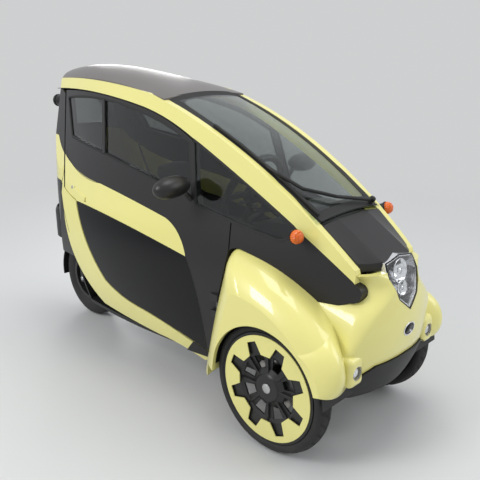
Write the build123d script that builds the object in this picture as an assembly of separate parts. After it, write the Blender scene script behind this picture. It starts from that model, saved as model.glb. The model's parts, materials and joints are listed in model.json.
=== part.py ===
from build123d import *
import math
import os

# Narrow three wheeled electric car for two people seated in line.
# Millimetres. +X is forward, +Y is left, +Z is up. The origin is on the ground under the
# middle of the car's box. Two fixed front wheels drive, one rear wheel steers.

# Overall sizes
LENGTH = 2350.0
HEIGHT = 1445.0
MIRROR_SPAN = 1000.0
FRONT_AXLE_X = 810.0
WHEELBASE = 1700.0
REAR_AXLE_X = FRONT_AXLE_X - WHEELBASE
TRACK = 710.0

# Body side: a plan curve of large radius, leaning in above the shoulder, tucked in below
PLAN_RADIUS = 4000.0
WIDEST_X = -60.0
SHOULDER_Z = 800.0
SHOULDER_HALF = 350.0
LEAN = 0.2
TUCK_RADIUS = 1100.0
FLOOR_Z = 200.0
DOOR_THICK = 40.0
RAIL_THICK = 30.0
GLASS_THICK = 5.0
GLASS_DEPTH = 5.0
SHUT_GAP = 5.0
REAR_SHUT_GAP = 12.0
SEAT_GAP = 0.3

# Rear end of the body
TAIL_CENTRE_X = -680.0
TAIL_RADIUS = 276.0

# Nose
NOSE_CENTRE_X = 595.0
NOSE_RADIUS = LENGTH / 2 - NOSE_CENTRE_X
NOSE_FULL_Z = 520.0
NOSE_UPRIGHT_RADIUS = 540.0
NOSE_THICK = 28.0
NOSE_TOP_Z = 720.0
NOSE_LOW_Z = 285.0
PANEL_FOOT_Z = 605.0
SEAM = 2.0
LIP_FOOT_Z = 722.0
LIP_THICK = 14.0
BUMPER_OUT = 8.0

# Wheels
FRONT_TYRE_R = 265.0
FRONT_TYRE_WIDE = 80.0
FRONT_RIM_R = 210.0
REAR_TYRE_R = 235.0
REAR_TYRE_WIDE = 120.0
REAR_RIM_R = 127.0
WHEEL_Y = TRACK / 2
AXLE_R = 12.0
RUNNING_GAP = 0.05
COVER_TEETH = 8
COVER_TOOTH_TIP_R = 186.0
COVER_VALLEY_R = 132.0
HUB_BOSS_R = 58.0
WINDOW_INNER_R = 76.0
WINDOW_OUTER_R = 126.0

# Plate bracket behind the rear wheel
BRACKET_X = -1158.0
BRACKET_SPACING = 50.0
BRACKET_HOLE_R = 3.25

# Doors
DOOR_HINGE_X = 505.0
DOOR_HINGE_Y = 338.0
DOOR_PIN_R = 3.5
DOOR_KNUCKLE_R = 6.5
LEAF_SWING_R = 24.0

# Steering
STEER_PIN_R = 18.0
TUB_FRONT_X = 1000.0
TUB_HALF = 215.0
TUB_TOP_Z = 590.0
WHEEL_RIM_R = 165.0
COLUMN_TOP = (395.0, 0.0, 905.0)
COLUMN_DROP = 24.0
COLUMN_R = 24.0
COLUMN_SHAFT_R = 10.0
JACK_PAD = 80.0
JACK_PAD_Z = 186.0
JACK_FRONT_X = 420.0
JACK_REAR_X = -500.0


def chain(start, *steps):
    """Closed face in the X-Z plane. A step is a point, or a middle point and an end point."""
    edges = []
    here = start
    for step in steps:
        if isinstance(step[0], tuple):
            middle, end = step
            edges.append(ThreePointArc(here, middle, end))
        else:
            end = step
            edges.append(Line(here, end))
        here = end
    if here != start:
        edges.append(Line(here, start))
    return make_face(Wire(edges))


def side_prism(face, side=-1, inner=0.0, outer=620.0):
    """Extrude an outline drawn as (x, z) across one side of the car."""
    plane = Plane(origin=(0, 0, 0), x_dir=(1, 0, 0), z_dir=(0, -1, 0))
    body = extrude(plane * face, amount=outer - inner, dir=(0, -1, 0))
    body = Pos(0, -inner, 0) * body
    return body if side < 0 else mirror(body, about=Plane.XZ)


def lean_angle():
    return math.atan(LEAN)


def tuck_centre():
    angle = lean_angle()
    return SHOULDER_HALF - TUCK_RADIUS * math.cos(angle), SHOULDER_Z - TUCK_RADIUS * math.sin(angle)


def half_width(z, depth=0.0):
    """Half width of the body at its widest station, at height z, some depth under the skin."""
    angle = lean_angle()
    centre_y, centre_z = tuck_centre()
    shoulder_z = centre_z + (TUCK_RADIUS - depth) * math.sin(angle)
    if z >= shoulder_z:
        shoulder_y = centre_y + (TUCK_RADIUS - depth) * math.cos(angle)
        return shoulder_y - LEAN * (z - shoulder_z)
    return centre_y + math.sqrt((TUCK_RADIUS - depth) ** 2 - (z - centre_z) ** 2)


AXIS_Y = PLAN_RADIUS - SHOULDER_HALF


def skin_y(x, z, depth=0.0):
    """Distance of the body side from the middle plane."""
    return math.sqrt((AXIS_Y + half_width(z, depth)) ** 2 - (x - WIDEST_X) ** 2) - AXIS_Y


def drum(depth, low, high, side=-1):
    """Filled solid of one body side, curved in plan and in height."""
    angle = lean_angle()
    centre_y, centre_z = tuck_centre()
    bend_z = centre_z + (TUCK_RADIUS - depth) * math.sin(angle)
    bend_y = half_width(bend_z, depth)
    middle_z = (low + bend_z) / 2
    base = AXIS_Y - 800.0
    edges = [
        Line((base, low), (AXIS_Y + half_width(low, depth), low)),
        ThreePointArc((AXIS_Y + half_width(low, depth), low),
                      (AXIS_Y + half_width(middle_z, depth), middle_z), (AXIS_Y + bend_y, bend_z)),
        Line((AXIS_Y + bend_y, bend_z), (AXIS_Y + half_width(high, depth), high)),
        Line((AXIS_Y + half_width(high, depth), high), (base, high)),
        Line((base, high), (base, low)),
    ]
    plane = Plane(origin=(WIDEST_X, AXIS_Y, 0), x_dir=(0, -1, 0), z_dir=(-1, 0, 0))
    section = plane * make_face(Wire(edges))
    axis = Axis((WIDEST_X, AXIS_Y, 0), (0, 0, 1))
    sweep_angle = 44.0
    body = revolve(section.rotate(axis, -sweep_angle / 2), axis, sweep_angle)
    return body if side < 0 else mirror(body, about=Plane.XZ)


def block(x0, x1, y0, y1, z0, z1):
    return Pos((x0 + x1) / 2, (y0 + y1) / 2, (z0 + z1) / 2) * Box(x1 - x0, y1 - y0, z1 - z0)


def tail_drum(depth, low, high):
    """Round rear end of the body: upright axis, fullest a little above the shoulder."""
    edges = [
        Line((0, low), (TAIL_RADIUS - 25 - depth, low)),
        ThreePointArc((TAIL_RADIUS - 25 - depth, low), (TAIL_RADIUS - depth, 840),
                      (TAIL_RADIUS - 16 - depth, 1100)),
        Line((TAIL_RADIUS - 16 - depth, 1100), (TAIL_RADIUS - 84 - depth, high)),
        Line((TAIL_RADIUS - 84 - depth, high), (0, high)),
        Line((0, high), (0, low)),
    ]
    section = Plane(origin=(TAIL_CENTRE_X, 0, 0), x_dir=(1, 0, 0), z_dir=(0, -1, 0)) * make_face(Wire(edges))
    return revolve(section, Axis((TAIL_CENTRE_X, 0, 0), (0, 0, 1)), 360)


def body_form(depth, low=FLOOR_Z - 15, high=HEIGHT + 20):
    """Filled outer form of the cabin, some depth under the skin."""
    lens = drum(depth, low, high, -1) & drum(depth, low, high, 1)
    ahead = lens & block(TAIL_CENTRE_X, 1130, -450, 450, low, high)
    behind = lens & tail_drum(depth, low, high) & block(-1100, TAIL_CENTRE_X, -450, 450, low, high)
    return ahead + behind


def both(solid):
    return Compound([solid, mirror(solid, about=Plane.XZ)])


def largest(shape):
    return max(shape.solids(), key=lambda solid: solid.volume)


def rod(start, end, radius):
    """Round bar between two points."""
    start, end = Vector(*start), Vector(*end)
    run = end - start
    plane = Plane(origin=start + run * 0.5, z_dir=run.normalized())
    return plane * Cylinder(radius, run.length)


# Side view outlines, as (x, z) on the skin. A pair of points is an arc's middle and end.
RAIL_TOP = [((-423, 1375), (21, 1325)), ((548, 1109), (1059, 738))]
RAIL_TOP_START = (-880, 1377)
RAIL_FOOT = [((960, 768), (842, 846)), ((612, 988), (347, 1131)), ((165, 1216), (-20, 1268)),
             ((-440, 1321), (-889, 1326))]
RAIL_FOOT_START = (1078, 680)
DOOR_LINE = [
    (552, 741), ((523, 606), (498, 515)), ((462, 375), (415, 215)), (383, 243),
    ((188, 318), (-1, 361)), ((-145, 392), (-256, 441)), ((-400, 610), (-511, 795)),
    ((-585, 812), (-655, 838)), ((-700, 1060), (-745, 1325)), ((-380, 1317), (-20, 1268)),
    ((165, 1216), (309, 1149)), ((333, 1020), (357, 897)),
    ((455, 873), (548, 852)),
]
DOOR_LINE_START = (548, 852)
# What the door's front foot gives up, so that it clears the sill while it swings
DOOR_FOOT = [(188, 323.5), (250, 307), (300, 290), (350, 271.5), (378, 260), (445, 257), (445, 200)]
DOOR_FOOT_START = (188, 200)
BAND_TOP = [((-560, 954), (-290, 907)), ((0, 862), (196, 822)), ((285, 765), (331, 677))]
BAND_TOP_START = (-779, 1090)
BAND_FOOT = [((-100, 757), (-511, 795))]
WINDOW_LINE = [((-445, 1070), (-278, 1045)), ((50, 980), (338, 912)), ((312, 1030), (290, 1138)),
               ((165, 1192), (-20, 1243)), ((-300, 1287), (-700, 1286)), ((-655, 1190), (-611, 1096))]
WINDOW_START = (-611, 1096)
QUARTER_LINE = [((455, 873), (548, 852)), ((650, 829), (746, 811)), ((785, 812), (808, 855)),
                (842, 846), ((612, 988), (347, 1131)), (309, 1149),
                ((333, 1020), (357, 897))]
QUARTER_START = (357, 897)
SIDE_PANEL_LINE = [((650, 829), (746, 811)), ((785, 812), (808, 855)), (842, 846),
                   ((960, 768), (1078, 680)), ((1090, 650), (1050, 620)), ((980, 602), (915, 610)),
                   ((760, 700), (612, 750)), ((575, 752), (552, 741))]
SIDE_PANEL_START = (548, 852)


def rails(roof, windscreen):
    wall = body_form(0) - body_form(RAIL_THICK)
    outline = chain(RAIL_TOP_START, *RAIL_TOP, RAIL_FOOT_START, *RAIL_FOOT)
    rail = wall & side_prism(outline) & block(-900, 1064, -500, -20, 600, 1500)
    rail = rail - roof - windscreen
    return both(rail)


SCREEN_TOP = (106.0, 1321.0)
SCREEN_MIDDLE = (516.0, 1144.0)
SCREEN_FOOT = (905.0, 896.0)
SCREEN_CROWN_R = 1100.0


def screen_axis():
    run = Vector(SCREEN_FOOT[0] - SCREEN_TOP[0], 0, SCREEN_FOOT[1] - SCREEN_TOP[1]).normalized()
    normal = Vector(-run.Z, 0, run.X)
    middle = Vector((SCREEN_TOP[0] + SCREEN_FOOT[0]) / 2, 0, (SCREEN_TOP[1] + SCREEN_FOOT[1]) / 2)
    return run, normal, middle - normal * SCREEN_CROWN_R


def glass_point(share, turn, lift):
    """Point above the windscreen: share of the way down it, degrees across, height above."""
    run, normal, centre = screen_axis()
    profile = ThreePointArc(SCREEN_TOP, SCREEN_MIDDLE, SCREEN_FOOT) @ share
    here = Vector(profile.X, 0, profile.Y) - centre
    along = here.dot(run)
    height = here.dot(normal) + lift
    angle = math.radians(turn)
    point = centre + run * along + normal * (height * math.cos(angle))
    return (point.X, height * math.sin(angle), point.Z)


def windscreen_solid():
    top, middle, foot = SCREEN_TOP, SCREEN_MIDDLE, SCREEN_FOOT
    run, normal, centre = screen_axis()
    outer = ThreePointArc(top, middle, foot)
    step = (normal.X * GLASS_THICK, normal.Z * GLASS_THICK)
    low = [(p[0] - step[0], p[1] - step[1]) for p in (top, middle, foot)]
    inner = ThreePointArc(low[2], low[1], low[0])
    band = make_face(Wire([outer, Line(foot, low[2]), inner, Line(low[0], top)]))
    band = Plane(origin=(0, 0, 0), x_dir=(1, 0, 0), z_dir=(0, -1, 0)) * band
    axis = Axis(tuple(centre), tuple(run))
    sheet = revolve(band.rotate(axis, -15), axis, 30)
    return sheet & body_form(8)


def roof_solid():
    # station x, centre height, edge height, half width at the edge
    stations = [(112, 1320, 1303, 246), (-250, 1404, 1364, 234), (-620, 1445, 1380, 196),
                (-850, 1430, 1368, 160)]
    thick = 22.0
    faces = []
    for x, centre_z, edge_z, half in stations:
        outer = ThreePointArc((-half, edge_z), (0, centre_z), (half, edge_z))
        inner = ThreePointArc((half, edge_z - thick), (0, centre_z - thick), (-half, edge_z - thick))
        face = make_face(Wire([outer, Line((half, edge_z), (half, edge_z - thick)), inner,
                               Line((-half, edge_z - thick), (-half, edge_z))]))
        faces.append(Plane(origin=(x, 0, 0), x_dir=(0, 1, 0), z_dir=(1, 0, 0)) * face)
    return loft(faces) & body_form(3)


def hood():
    """Folded lid between the rails. Its front edge is swept back and turns down in a lip."""
    # station x, outer half width, outer height, crease half width, crease height
    stations = [(907, 230, 868, 95, 884), (1112, 170, 692, 92, 750)]

    def skin(thick):
        faces = []
        for x, outer_y, outer_z, crease_y, crease_z in stations:
            points = [(-outer_y, outer_z), (-crease_y, crease_z), (crease_y, crease_z), (outer_y, outer_z),
                      (outer_y, outer_z - thick), (crease_y, crease_z - thick),
                      (-crease_y, crease_z - thick), (-outer_y, outer_z - thick)]
            face = make_face(Polyline(*points, close=True))
            faces.append(Plane(origin=(x, 0, 0), x_dir=(0, 1, 0), z_dir=(1, 0, 0)) * face)
        return loft(faces, ruled=True)

    def edge(back):
        front = make_face(Polyline((800, -240), (1000 - back, -240), (1104 - back, -91), (1108 - back, 0),
                                   (1104 - back, 91), (1000 - back, 240), (800, 240), close=True))
        return extrude(front, amount=1000, dir=(0, 0, 1))
    lip = (skin(90) & (edge(0) - edge(LIP_THICK))) & block(1000, 1120, -240, 240, LIP_FOOT_Z, 900)
    return ((skin(14) & edge(0)) + lip) & body_form(RAIL_THICK)


def nose_drum(offset, low, high):
    """Front end: upright axis, fullest at the badge place. A positive offset is outward."""
    def reach(z):
        drop = NOSE_UPRIGHT_RADIUS - math.sqrt(NOSE_UPRIGHT_RADIUS ** 2 - (z - NOSE_FULL_Z) ** 2)
        return NOSE_RADIUS + offset - drop
    middle = (low + high) / 2
    edges = [Line((0, low), (reach(low), low)),
             ThreePointArc((reach(low), low), (reach(middle), middle), (reach(high), high)),
             Line((reach(high), high), (0, high)), Line((0, high), (0, low))]
    section = Plane(origin=(NOSE_CENTRE_X, 0, 0), x_dir=(1, 0, 0), z_dir=(0, -1, 0)) * make_face(Wire(edges))
    axis = Axis((NOSE_CENTRE_X, 0, 0), (0, 0, 1))
    return revolve(section.rotate(axis, -60), axis, 120)


def front_prism(points, x0=800.0, x1=1300.0):
    """Extrude a front view outline, given as (y, z), along the car."""
    face = make_face(Polyline(*points, close=True))
    plane = Plane(origin=(x0, 0, 0), x_dir=(0, 1, 0), z_dir=(1, 0, 0))
    return extrude(plane * face, amount=x1 - x0, dir=(1, 0, 0))


LAMP_OUTLINE = [(-91, 750), (0, 766), (91, 750), (100, 700), (62, 616), (0, 566), (-62, 616), (-100, 700)]


def grown(points, gap):
    centre_z = sum(z for y, z in points) / len(points)
    grow = 1 + gap / 90.0
    return [(y * grow, centre_z + (z - centre_z) * grow) for y, z in points]


def nose_corner(z, half, depth):
    """Where the nose's flank meets its front at height z. Without a half width it lies on the skin."""
    drop = NOSE_UPRIGHT_RADIUS - math.sqrt(NOSE_UPRIGHT_RADIUS ** 2 - (z - NOSE_FULL_Z) ** 2)
    reach = NOSE_RADIUS - drop - depth
    x = 1100.0
    for turn in range(20):
        y = (half or skin_y(x, z)) - depth
        x = NOSE_CENTRE_X + math.sqrt(reach ** 2 - y ** 2)
    return x, y, NOSE_CENTRE_X + reach


def nose_form(depth):
    """Filled nose: front arc and two flanks that lie on the skin above and flare out below."""
    # height, back edge x, half width at the back, half width at the corner, length of its rounding
    stations = [(NOSE_LOW_Z, 1000, 262, 304, 24), (400, 1000, 262, 301, 25),
                (440, 1000, 262, 293, 28), (500, 990, 262, 266, 34), (560, 940, 262, 232, 42),
                (PANEL_FOOT_Z, 900, 0, 0, 50), (NOSE_TOP_Z, 900, 0, 0, 54)]
    faces = []
    for z, back_x, back_half, corner_half, rounding in stations:
        x, y, front_x = nose_corner(z, corner_half, depth)
        back_y = (back_half or skin_y(back_x, z)) - depth
        rounding = max(rounding - depth * 0.6, 8)
        side = Vector(back_x - x, back_y - y).normalized()
        front = Vector(y, NOSE_CENTRE_X - x).normalized()
        start = Vector(x, y) + side * rounding
        angle = math.atan2(y, x - NOSE_CENTRE_X) - rounding / (front_x - NOSE_CENTRE_X)
        end = Vector(NOSE_CENTRE_X, 0) + Vector(math.cos(angle), math.sin(angle)) * (front_x - NOSE_CENTRE_X)
        half_angle = math.sin(math.radians(side.get_angle(front)) / 2)
        middle = Vector(x, y) + ((start + end) * 0.5 - Vector(x, y)) * (1 / (1 + half_angle))
        flank_x = (back_x + start.X) / 2
        flank_y = (back_y + start.Y) / 2 + 1.0 if back_half else skin_y(flank_x, z) - depth
        edges = [ThreePointArc((back_x, back_y), (flank_x, flank_y), (start.X, start.Y)),
                 ThreePointArc((start.X, start.Y), (middle.X, middle.Y), (end.X, end.Y)),
                 ThreePointArc((end.X, end.Y), (front_x, 0), (end.X, -end.Y)),
                 ThreePointArc((end.X, -end.Y), (middle.X, -middle.Y), (start.X, -start.Y)),
                 ThreePointArc((start.X, -start.Y), (flank_x, -flank_y), (back_x, -back_y)),
                 Line((back_x, -back_y), (back_x, back_y))]
        faces.append(Pos(0, 0, z) * make_face(Wire(edges)))
    return loft(faces)


NOSE_FOOT = [(310, 292), (262, 322), (215, 358), (164, 384), (0, 392)]


def nose():
    form, hollow = nose_form(0), nose_form(NOSE_THICK)
    foot = [(-y, z) for y, z in NOSE_FOOT] + [(y, z) for y, z in NOSE_FOOT[-2::-1]]
    below = front_prism([(-400, 200), (-400, 292)] + foot + [(400, 292), (400, 200)])
    bosses, sockets = [], []
    for side in (-1, 1):
        boss = Pos(1064, side * 257, 388) * Box(120, 86, 116)
        bosses.append(fillet(boss.edges(), 24))
        front = Plane(origin=(1118, side * 257, 385), x_dir=(0, 1, 0), z_dir=(1, 0, 0))
        sockets.append(front * Cylinder(27, 20))
    return (form + bosses) - [hollow, below, front_prism(grown(LAMP_OUTLINE, SEAT_GAP))] - sockets


def fog_lamps():
    lamps = []
    for side in (-1, 1):
        lens = Plane(origin=(1115, side * 257, 385), x_dir=(0, 1, 0), z_dir=(1, 0, 0)) * Cylinder(26.5, 12)
        lamps.append(lens)
    return Compound(lamps)


def headlamp_lens():
    shell = nose_drum(-0.5, 500, 780) - nose_drum(-4.5, 490, 790)
    return shell & front_prism(LAMP_OUTLINE)


def headlamp_housing():
    bowl = (nose_drum(-5, 500, 780) - nose_drum(-90, 490, 790)) & front_prism(LAMP_OUTLINE)
    hollow = (nose_drum(5, 500, 780) - nose_drum(-84, 490, 790)) & front_prism(grown(LAMP_OUTLINE, -8))
    return bowl - hollow


def front_bumper():
    top = [(-y, z - SEAM) for y, z in NOSE_FOOT] + [(y, z - SEAM) for y, z in NOSE_FOOT[-2::-1]]
    outline = top + [(310, 268), (210, 250), (0, 244), (-210, 250), (-310, 268)]
    shell = nose_drum(BUMPER_OUT, 230, 400) - nose_drum(BUMPER_OUT - 44, 220, 410)
    return shell & front_prism(outline)


def fender_side(nose_part, bumper, panel):
    # y of the section, then (x, z): rear foot, rear middle, rear top, corner, top start,
    # top middle, top end, front middle, front foot
    stations = [
        (-215, (415, 215), (478, 430), (552, 722), (575, 750), (612, 750), (850, 668), (1010, 545),
         (1072, 440), (1082, 330)),
        (-300, (417, 215), (480, 430), (553, 718), (576, 746), (613, 746), (850, 663), (1032, 532),
         (1094, 435), (1100, 330)),
        (-350, (440, 215), (496, 430), (572, 692), (596, 722), (632, 722), (862, 650), (1048, 515),
         (1124, 425), (1108, 328)),
        (-395, (490, 215), (534, 420), (604, 645), (628, 675), (666, 675), (852, 624), (1030, 490),
         (1106, 410), (1100, 332)),
        (-425, (545, 215), (582, 400), (645, 590), (670, 616), (710, 616), (845, 578), (985, 472),
         (1064, 395), (1078, 340)),
    ]
    faces = []
    for y, foot, mid, top, corner, start, middle, end, front, front_foot in stations:
        wire = Wire([ThreePointArc(foot, mid, top), ThreePointArc(top, corner, start),
                     ThreePointArc(start, middle, end), ThreePointArc(end, front, front_foot),
                     Line(front_foot, foot)])
        plane = Plane(origin=(0, y, 0), x_dir=(1, 0, 0), z_dir=(0, -1, 0))
        faces.append(plane * make_face(wire))
    well = Plane(origin=(FRONT_AXLE_X, -200, FRONT_TYRE_R), x_dir=(1, 0, 0), z_dir=(0, -1, 0))
    return loft(faces) - [
        side_prism(chain(DOOR_LINE_START, *DOOR_LINE), inner=150),
        well * Pos(0, 0, 104) * Cylinder(FRONT_TYRE_R + 8, 208),
        well * Pos(0, 0, 150) * Cylinder(FRONT_TYRE_R - 10, 300),
        block(500, 1200, -440, -200, 190, FRONT_TYRE_R), nose_part, bumper, panel]


def side_panel():
    wall = body_form(0) - body_form(DOOR_THICK)
    return wall & side_prism(chain(SIDE_PANEL_START, *SIDE_PANEL_LINE)) & block(500, 1094, -400, 0, 500, 900)


def lower_band():
    wall = body_form(0) - body_form(DOOR_THICK)
    outline = chain((-511, 795), ((-585, 812), (-655, 838)), ((-675, 920), (-693, 1012)),
                    ((-740, 1045), (-779, 1090)), (-1000, 1110), (-1000, 880), (-721, 865),
                    ((-700, 838), (-637, 724)), ((-525, 480), (-321, 295)), ((-116, 272), (95, 249)),
                    ((275, 219), (352, 189)), (415, 215), (383, 243), ((188, 318), (-1, 361)),
                    ((-145, 392), (-256, 441)), ((-400, 610), (-511, 795)))
    return wall & side_prism(outline, inner=110)


def rear_shell(bands):
    wall = body_form(0) - body_form(DOOR_THICK)
    outline = chain((-637, 724), ((-560, 600), (-530, 500)), (-1020, 500), (-1020, 1330), (-889, 1326),
                    ((-800, 1326), (-745, 1303)), ((-700, 1060), (-655, 838)))
    shell = wall & side_prism(outline, outer=500)
    shell = shell + mirror(shell, about=Plane.XZ)
    shell = shell - bands
    window = make_face(Polyline((-135, 1130), (-120, 1275), (120, 1275), (135, 1130), close=True))
    window = extrude(Plane(origin=(-1100, 0, 0), x_dir=(0, 1, 0), z_dir=(1, 0, 0)) * window, amount=400,
                     dir=(1, 0, 0))
    return shell - window, window


def shut_steps():
    """Shifts whose overlap draws the door in from its opening by the shut gaps."""
    front, rear, slant = SHUT_GAP, REAR_SHUT_GAP, SHUT_GAP * 0.72
    return [(-front, 0), (-slant, slant), (0, front), (front, front), (rear, 0), (rear * 0.75, -slant),
            (0, -front), (-slant, -slant)]


def door_parts():
    """The right door: charcoal shell, coloured band, gloss lower panel and glass."""
    whole = chain(DOOR_LINE_START, *DOOR_LINE)
    inset = whole
    for step in shut_steps():
        inset = inset & (Pos(*step) * whole)
    wall = body_form(0) - body_form(DOOR_THICK)
    door = (wall & side_prism(inset)) - side_prism(chain(DOOR_FOOT_START, *DOOR_FOOT))
    band_face = chain(BAND_TOP_START, ((-740, 1045), (-693, 1012)), *BAND_TOP, *BAND_FOOT, (-700, 830))
    band = door & side_prism(band_face)
    panel_face = chain((331, 677), *BAND_FOOT, (-520, 700), (-300, 225), (383, 225),
                       ((400, 440), (331, 677)))
    panel = door & side_prism(panel_face)
    opening = side_prism(chain(WINDOW_START, *WINDOW_LINE))
    shell = door - band - panel - opening
    glass = (body_form(GLASS_DEPTH) - body_form(GLASS_DEPTH + GLASS_THICK)) & opening
    shell = shell + door_knuckles()
    return {"shell": shell, "band": band, "panel": panel, "glass": glass}


HINGE_STEPS = [(450, 479.7), (480, 520), (520.3, 550)]


def door_knuckles():
    pin = Pos(DOOR_HINGE_X, -DOOR_HINGE_Y, 500) * Cylinder(DOOR_PIN_R, 100)
    body = pin
    for low, high in (HINGE_STEPS[0], HINGE_STEPS[2]):
        middle = (low + high) / 2
        body = body + Pos(DOOR_HINGE_X, -DOOR_HINGE_Y, middle) * Cylinder(DOOR_KNUCKLE_R, high - low)
        leaf = block(468, DOOR_HINGE_X, -DOOR_HINGE_Y - DOOR_KNUCKLE_R, -DOOR_HINGE_Y + 12, low, high)
        body = body + leaf
    return body


def fender_knuckle():
    low, high = HINGE_STEPS[1]
    middle = (low + high) / 2
    body = Pos(DOOR_HINGE_X, -DOOR_HINGE_Y, middle) * Cylinder(DOOR_KNUCKLE_R, high - low)
    body = body + block(DOOR_HINGE_X, 550, -DOOR_HINGE_Y - DOOR_KNUCKLE_R, -DOOR_HINGE_Y + 5, low, high)
    return body


def mirror_pod():
    """Right door mirror: an egg shaped pod on a short arm from the foot of the door post."""
    reach = MIRROR_SPAN / 2
    half = 72.0
    centre = (338, half - reach, 978)
    edges = [Line((0, -half), (10, -half)), ThreePointArc((10, -half), (49, 0), (10, half)),
             Line((10, half), (0, half)), Line((0, half), (0, -half))]
    pod = Pos(*centre) * revolve(make_face(Wire(edges)), Axis.Y, 360)
    behind = block(240, 318, -reach - 30, -200, 900, 1060)
    pod = pod - behind
    face = Plane(origin=(318, centre[1], centre[2]), x_dir=(0, 1, 0), z_dir=(1, 0, 0))
    pod = pod - extrude(face * Ellipse(58, 38), amount=6, dir=(1, 0, 0))
    arm = rod((322, -290, 884), (334, centre[1] + 30, 956), 11)
    return largest(pod + (arm - body_form(0) - behind))


def quarter_glass():
    skin = body_form(GLASS_DEPTH) - body_form(GLASS_DEPTH + GLASS_THICK)
    return skin & side_prism(chain(QUARTER_START, *QUARTER_LINE))


def steer_bearing():
    return block(REAR_AXLE_X - 45, REAR_AXLE_X + 45, -42, 42, 500, 590)


def floor_tub():
    form = body_form(DOOR_THICK)
    floor = block(-600, 372, -400, 400, FLOOR_Z, FLOOR_Z + 25) & form
    bulkhead = block(-615, -600, -400, 400, FLOOR_Z, 500) & body_form(DOOR_THICK + 6)
    deck = block(-960, -600, -400, 400, 500, 515) & form
    wall = 12
    well = block(360, TUB_FRONT_X, -TUB_HALF, TUB_HALF, FLOOR_Z, TUB_TOP_Z)
    well = well - block(300, TUB_FRONT_X - wall, wall - TUB_HALF, TUB_HALF - wall, FLOOR_Z + 25, 700)
    tub = floor + bulkhead + deck + well + steer_bearing()
    for x in (JACK_FRONT_X, JACK_REAR_X):
        tub = tub + block(x - JACK_PAD / 2, x + JACK_PAD / 2, -JACK_PAD / 2, JACK_PAD / 2, JACK_PAD_Z, FLOOR_Z)
    shaft = Pos(REAR_AXLE_X, 0, 535) * Cylinder(STEER_PIN_R + RUNNING_GAP, 90)
    return tub - shaft


def battery_block():
    return block(-560, 250, -150, 150, FLOOR_Z + 25, 395)


def seat(cushion_x0, cushion_x1, back_x, back_top, half, seat_z):
    """Soft seat: a cushion and a leaning back, touching at the hinge line."""
    base = block(cushion_x0, cushion_x1, -half, half, 395.3, seat_z)
    base = fillet(base.edges().filter_by(Axis.Y), 22)
    lean = 110.0
    face = make_face(Polyline((cushion_x0 + 40, seat_z - 30), (back_x - lean + 40, back_top),
                              (back_x - lean - 50, back_top), (cushion_x0 - 50, seat_z - 30), close=True))
    plane = Plane(origin=(0, half, 0), x_dir=(1, 0, 0), z_dir=(0, -1, 0))
    back = extrude(plane * face, amount=2 * half, dir=(0, -1, 0))
    return base + back


def dashboard():
    face = chain((600, 740), ((606, 825), (690, 860)), (895, 856), (930, 795), (930, 640), (700, 640))
    plane = Plane(origin=(0, 300, 0), x_dir=(1, 0, 0), z_dir=(0, -1, 0))
    body = extrude(plane * face, amount=600, dir=(0, -1, 0))
    return body & body_form(DOOR_THICK)


def column_direction():
    angle = math.radians(COLUMN_DROP)
    return Vector(-math.cos(angle), 0, math.sin(angle))


def steering_column(dash):
    top = Vector(*COLUMN_TOP)
    foot = top - column_direction() * 330
    tube = rod(tuple(foot), tuple(top - column_direction() * 30), COLUMN_R)
    bore = rod(tuple(top - column_direction() * 150), tuple(top), COLUMN_SHAFT_R + RUNNING_GAP)
    return tube - bore - dash


def steering_wheel():
    plane = Plane(origin=COLUMN_TOP, x_dir=(0, -1, 0), z_dir=tuple(column_direction()))
    wheel = Torus(WHEEL_RIM_R, 14)
    hub = Pos(0, 0, -13) * Cylinder(42, 30)
    wheel = wheel + hub + Pos(0, 0, -75) * Cylinder(COLUMN_SHAFT_R, 130)
    for angle in (0, 180, 270):
        spoke = Rot(0, 0, angle) * Pos(WHEEL_RIM_R / 2, 0, -4) * Box(WHEEL_RIM_R, 26, 10)
        wheel = wheel + spoke
    return plane * wheel


def pedals():
    pads = []
    x = TUB_FRONT_X - 85
    for y in (-70, 50):
        pad = Pos(x, y, 330) * Rot(0, -30, 0) * Box(14, 60, 90)
        arm = rod((x, y, 330), (x + 90, y, 420), 8)
        pads.append((pad + arm) & block(500, TUB_FRONT_X - 12, -200, 200, 225, 700))
    return Compound(pads)


def front_suspension():
    """Right front corner: arms from the tub, upright, stub axle and brake caliper."""
    y_in, y_up = -TUB_HALF, -296
    upright = block(FRONT_AXLE_X - 28, FRONT_AXLE_X + 28, y_up - 12, y_up + 12, 190, 385)
    body = fillet(upright.edges().filter_by(Axis.Y), 14)
    for x_end, z in ((-110, 215), (110, 215), (-80, 365), (80, 365)):
        body = body + rod((FRONT_AXLE_X, y_up, z), (FRONT_AXLE_X + x_end, y_in, z), 11)
    body = body - block(600, 1000, y_in, 0, 100, 500)
    stub = rod((FRONT_AXLE_X, y_up, FRONT_TYRE_R), (FRONT_AXLE_X, -WHEEL_Y - 14, FRONT_TYRE_R), AXLE_R)
    caliper = block(FRONT_AXLE_X + 50, FRONT_AXLE_X + 130, -348, -300, FRONT_TYRE_R - 30, FRONT_TYRE_R + 50)
    slot = Plane(origin=(FRONT_AXLE_X, -333, FRONT_TYRE_R), z_dir=(0, -1, 0)) * Cylinder(106, 14)
    arm = block(FRONT_AXLE_X, FRONT_AXLE_X + 90, y_up - 12, y_up, FRONT_TYRE_R - 20, FRONT_TYRE_R + 40)
    return body + stub + (caliper - slot) + arm


def wheel_section(points):
    """Turn a profile of (radius, offset) about the wheel's own axis, +Z outward."""
    face = make_face(Polyline(*points, close=True))
    section = Plane(origin=(0, 0, 0), x_dir=(1, 0, 0), z_dir=(0, -1, 0)) * face
    return revolve(section, Axis.Z, 360)


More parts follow.
